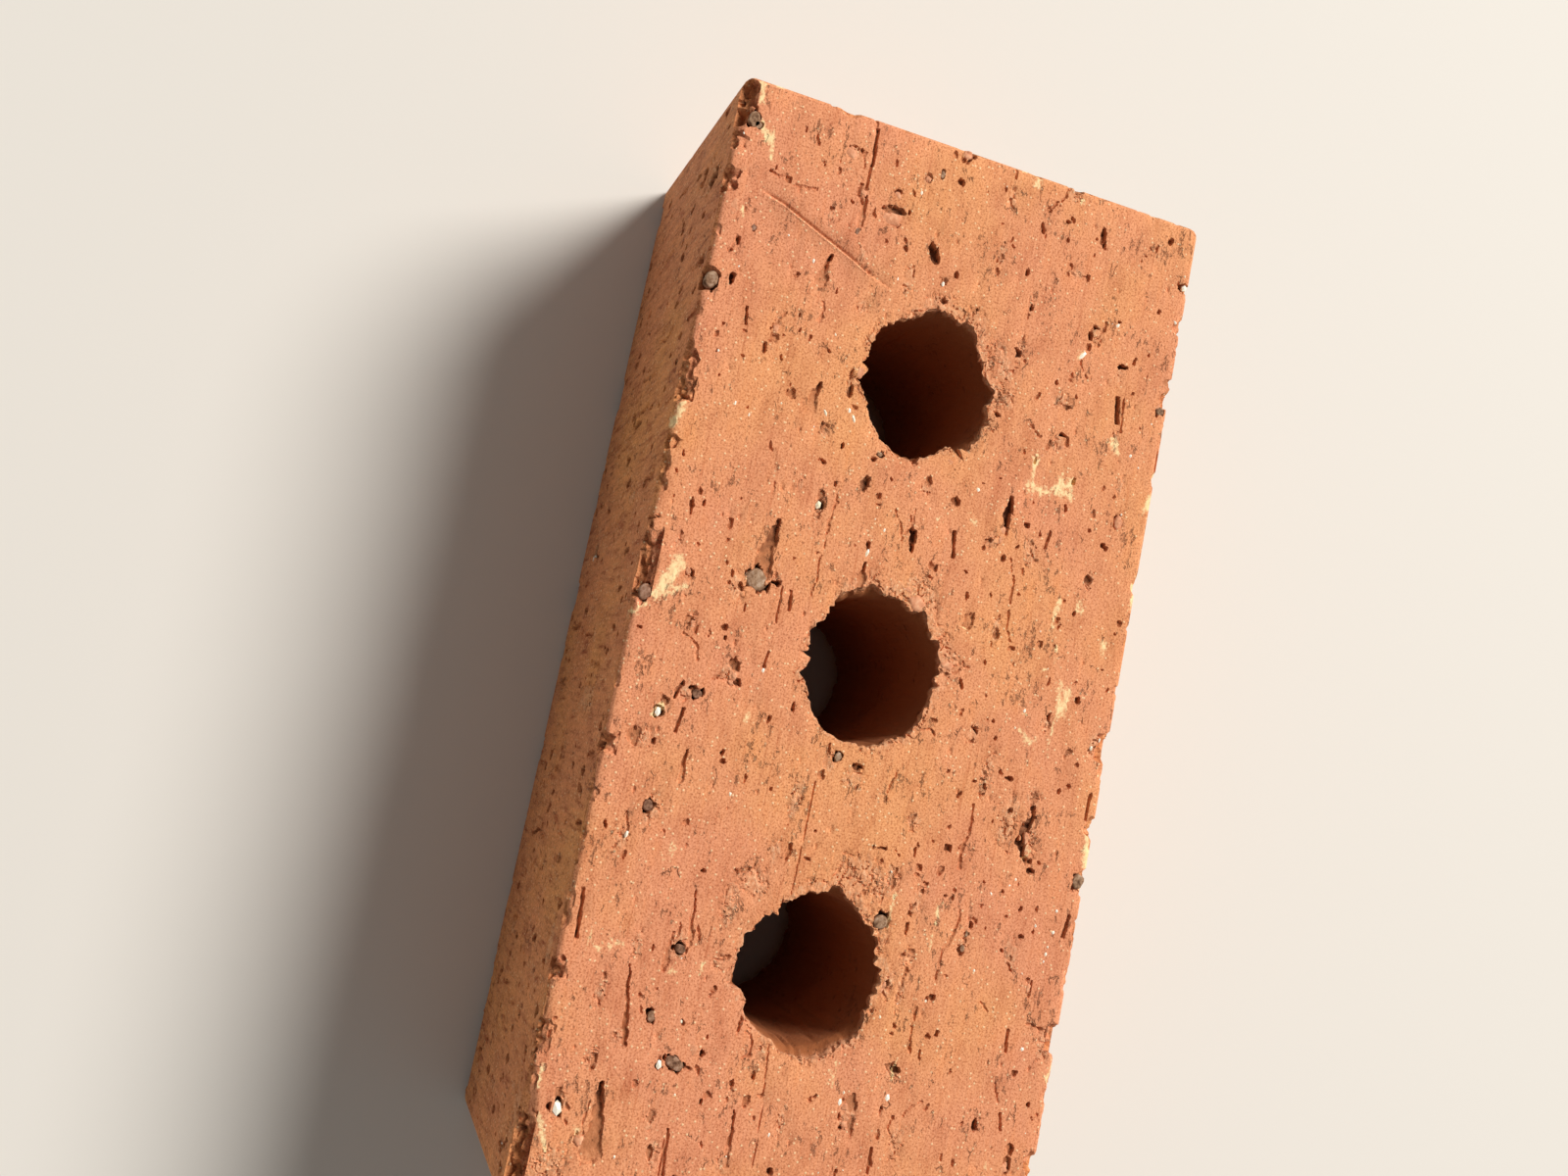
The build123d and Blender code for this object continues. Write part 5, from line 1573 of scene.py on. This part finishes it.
# %% Quartz
# In these three materials the scales are written as bumps in each millimetre
quartz, tree = new_material("white_quartz_grain")
place = add_node(tree, "ShaderNodeTexCoord")["Object"]
cloud = add_node(tree, "ShaderNodeTexNoise", {"Vector": place, "Scale": 0.5 / MM, "Detail": 3.0})[0]
colour = add_node(tree, "ShaderNodeValToRGB", [cloud], ramp=((0.35, "ecd9b4"), (0.55, "fbf1dc")))[0]
shader = add_node(tree, "ShaderNodeBsdfPrincipled", {"Base Color": colour, "Roughness": 0.5})
add_node(tree, "ShaderNodeOutputMaterial", {"Surface": shader[0]})
print("quartz:", len(tree.nodes), "nodes")

# %% Gravel
gravel, tree = new_material("grey_river_gravel")
place = add_node(tree, "ShaderNodeTexCoord")["Object"]
spread = add_node(tree, "ShaderNodeTexNoise", {"Vector": place, "Scale": 0.06 / MM, "Detail": 2.0})[0]
colour = add_node(tree, "ShaderNodeValToRGB", [spread], ramp=((0.4, "b89a80"), (0.6, "a8826e")))[0]
mottle = add_node(
    tree, "ShaderNodeTexNoise", {"Vector": place, "Scale": 0.9 / MM, "Detail": 4.0, "Roughness": 0.7}
)[0]
shade = add_node(
    tree, "ShaderNodeValToRGB", [mottle], ramp=((0.36, "8d7664"), (0.5, "dfcfbe"), (0.64, "ffffff"))
)[0]
colour = add_node(
    tree, "ShaderNodeMix", {0: 1.0, 6: colour, 7: shade}, data_type="RGBA", blend_type="MULTIPLY"
)[2]
bands = add_node(
    tree, "ShaderNodeTexWave", {"Vector": place, "Scale": 0.28 / MM, "Distortion": 2.5, "Detail": 2.0},
    bands_direction="DIAGONAL",
)[1]
shade = add_node(tree, "ShaderNodeValToRGB", [bands], ramp=((0.2, "d2c6ba"), (0.7, "ffffff")))[0]
colour = add_node(
    tree, "ShaderNodeMix", {0: 0.7, 6: colour, 7: shade}, data_type="RGBA", blend_type="MULTIPLY"
)[2]
shader = add_node(
    tree, "ShaderNodeBsdfPrincipled",
    {"Base Color": colour, "Roughness": 0.85, "Specular IOR Level": 0.25},
)
add_node(tree, "ShaderNodeOutputMaterial", {"Surface": shader[0]})
print("gravel:", len(tree.nodes), "nodes")

# %% Crumbs
crumb_clay, tree = new_material("loose_terracotta_crumb")
place = add_node(tree, "ShaderNodeTexCoord")["Object"]
cloud = add_node(
    tree, "ShaderNodeTexNoise", {"Vector": place, "Scale": 0.8 / MM, "Detail": 4.0, "Roughness": 0.7}
)[0]
colour = add_node(
    tree, "ShaderNodeValToRGB", [cloud], ramp=((0.3, "b4704a"), (0.5, "d79068"), (0.68, "e9ae84"))
)[0]
crumb_relief = add_node(
    tree, "ShaderNodeBump", {"Strength": 0.8, "Distance": 0.2 * MM, "Height": cloud}
)[0]
shader = add_node(
    tree, "ShaderNodeBsdfPrincipled", {"Base Color": colour, "Roughness": 0.95, "Normal": crumb_relief}
)
add_node(tree, "ShaderNodeOutputMaterial", {"Surface": shader[0]})
print("crumbs:", len(tree.nodes), "nodes")

# %% Setting the grains
grain_widths, grain_chances = (0.5, 0.7, 1.0, 1.5), (0.4, 0.35, 0.18, 0.07)
stone_widths, crumb_widths, stone_chances = (1.0, 1.8, 3.0), (0.9, 1.5, 2.4), (0.5, 0.35, 0.15)
other_faces = {
    # name: how many grains of quartz
    "lower_bed": 60, "back_stretcher": 34, "left_header": 16, "right_header": 16, "front_stretcher": 20,
}
stone_share, crumb_share = 4, 3  # one stone to so many grains, and one crumb
bed_axis, bed_side = boards["upper_bed"][:2]


def on_other_faces(first_seed, share, widths, chances):
    """Grains of one kind for the five faces other than the upper bed, face by face."""
    return [
        sprinkled(name, first_seed + i, count // share, widths, chances)
        for i, (name, count) in enumerate(other_faces.items())
    ]


grain_pieces = [
    set_grains(
        "quartz_grains",
        [grain_points(bed_axis, bed_side, white_grains, 0.2, 0.9)]
        + [sprinkled("upper_bed", 70, 40, (0.4, 0.6), (0.7, 0.3))]
        + on_other_faces(71, 1, grain_widths, grain_chances),
        quartz, 0.05, False, facets=1, roughness=0.6, bump_size=0.8,
    ),
    set_grains(
        "gravel_stones",
        [grain_points(bed_axis, bed_side, grey_stones, 0.25, 0.75)]
        + on_other_faces(81, stone_share, stone_widths, stone_chances),
        gravel, 0.3, True, facets=3, roughness=1.0, bump_size=1.5,
    ),
    set_grains(
        "clay_crumbs",
        [grain_points(bed_axis, bed_side, clay_crumbs, 0.35, 0.6)]
        + on_other_faces(91, crumb_share, crumb_widths, stone_chances),
        crumb_clay, 0.2, True, facets=3, roughness=1.3, bump_size=0.9,
    ),
]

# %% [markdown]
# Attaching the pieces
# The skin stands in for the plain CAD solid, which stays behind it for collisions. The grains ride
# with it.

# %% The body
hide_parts("brick")
for piece in (skin, *grain_pieces):
    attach(piece, "root")
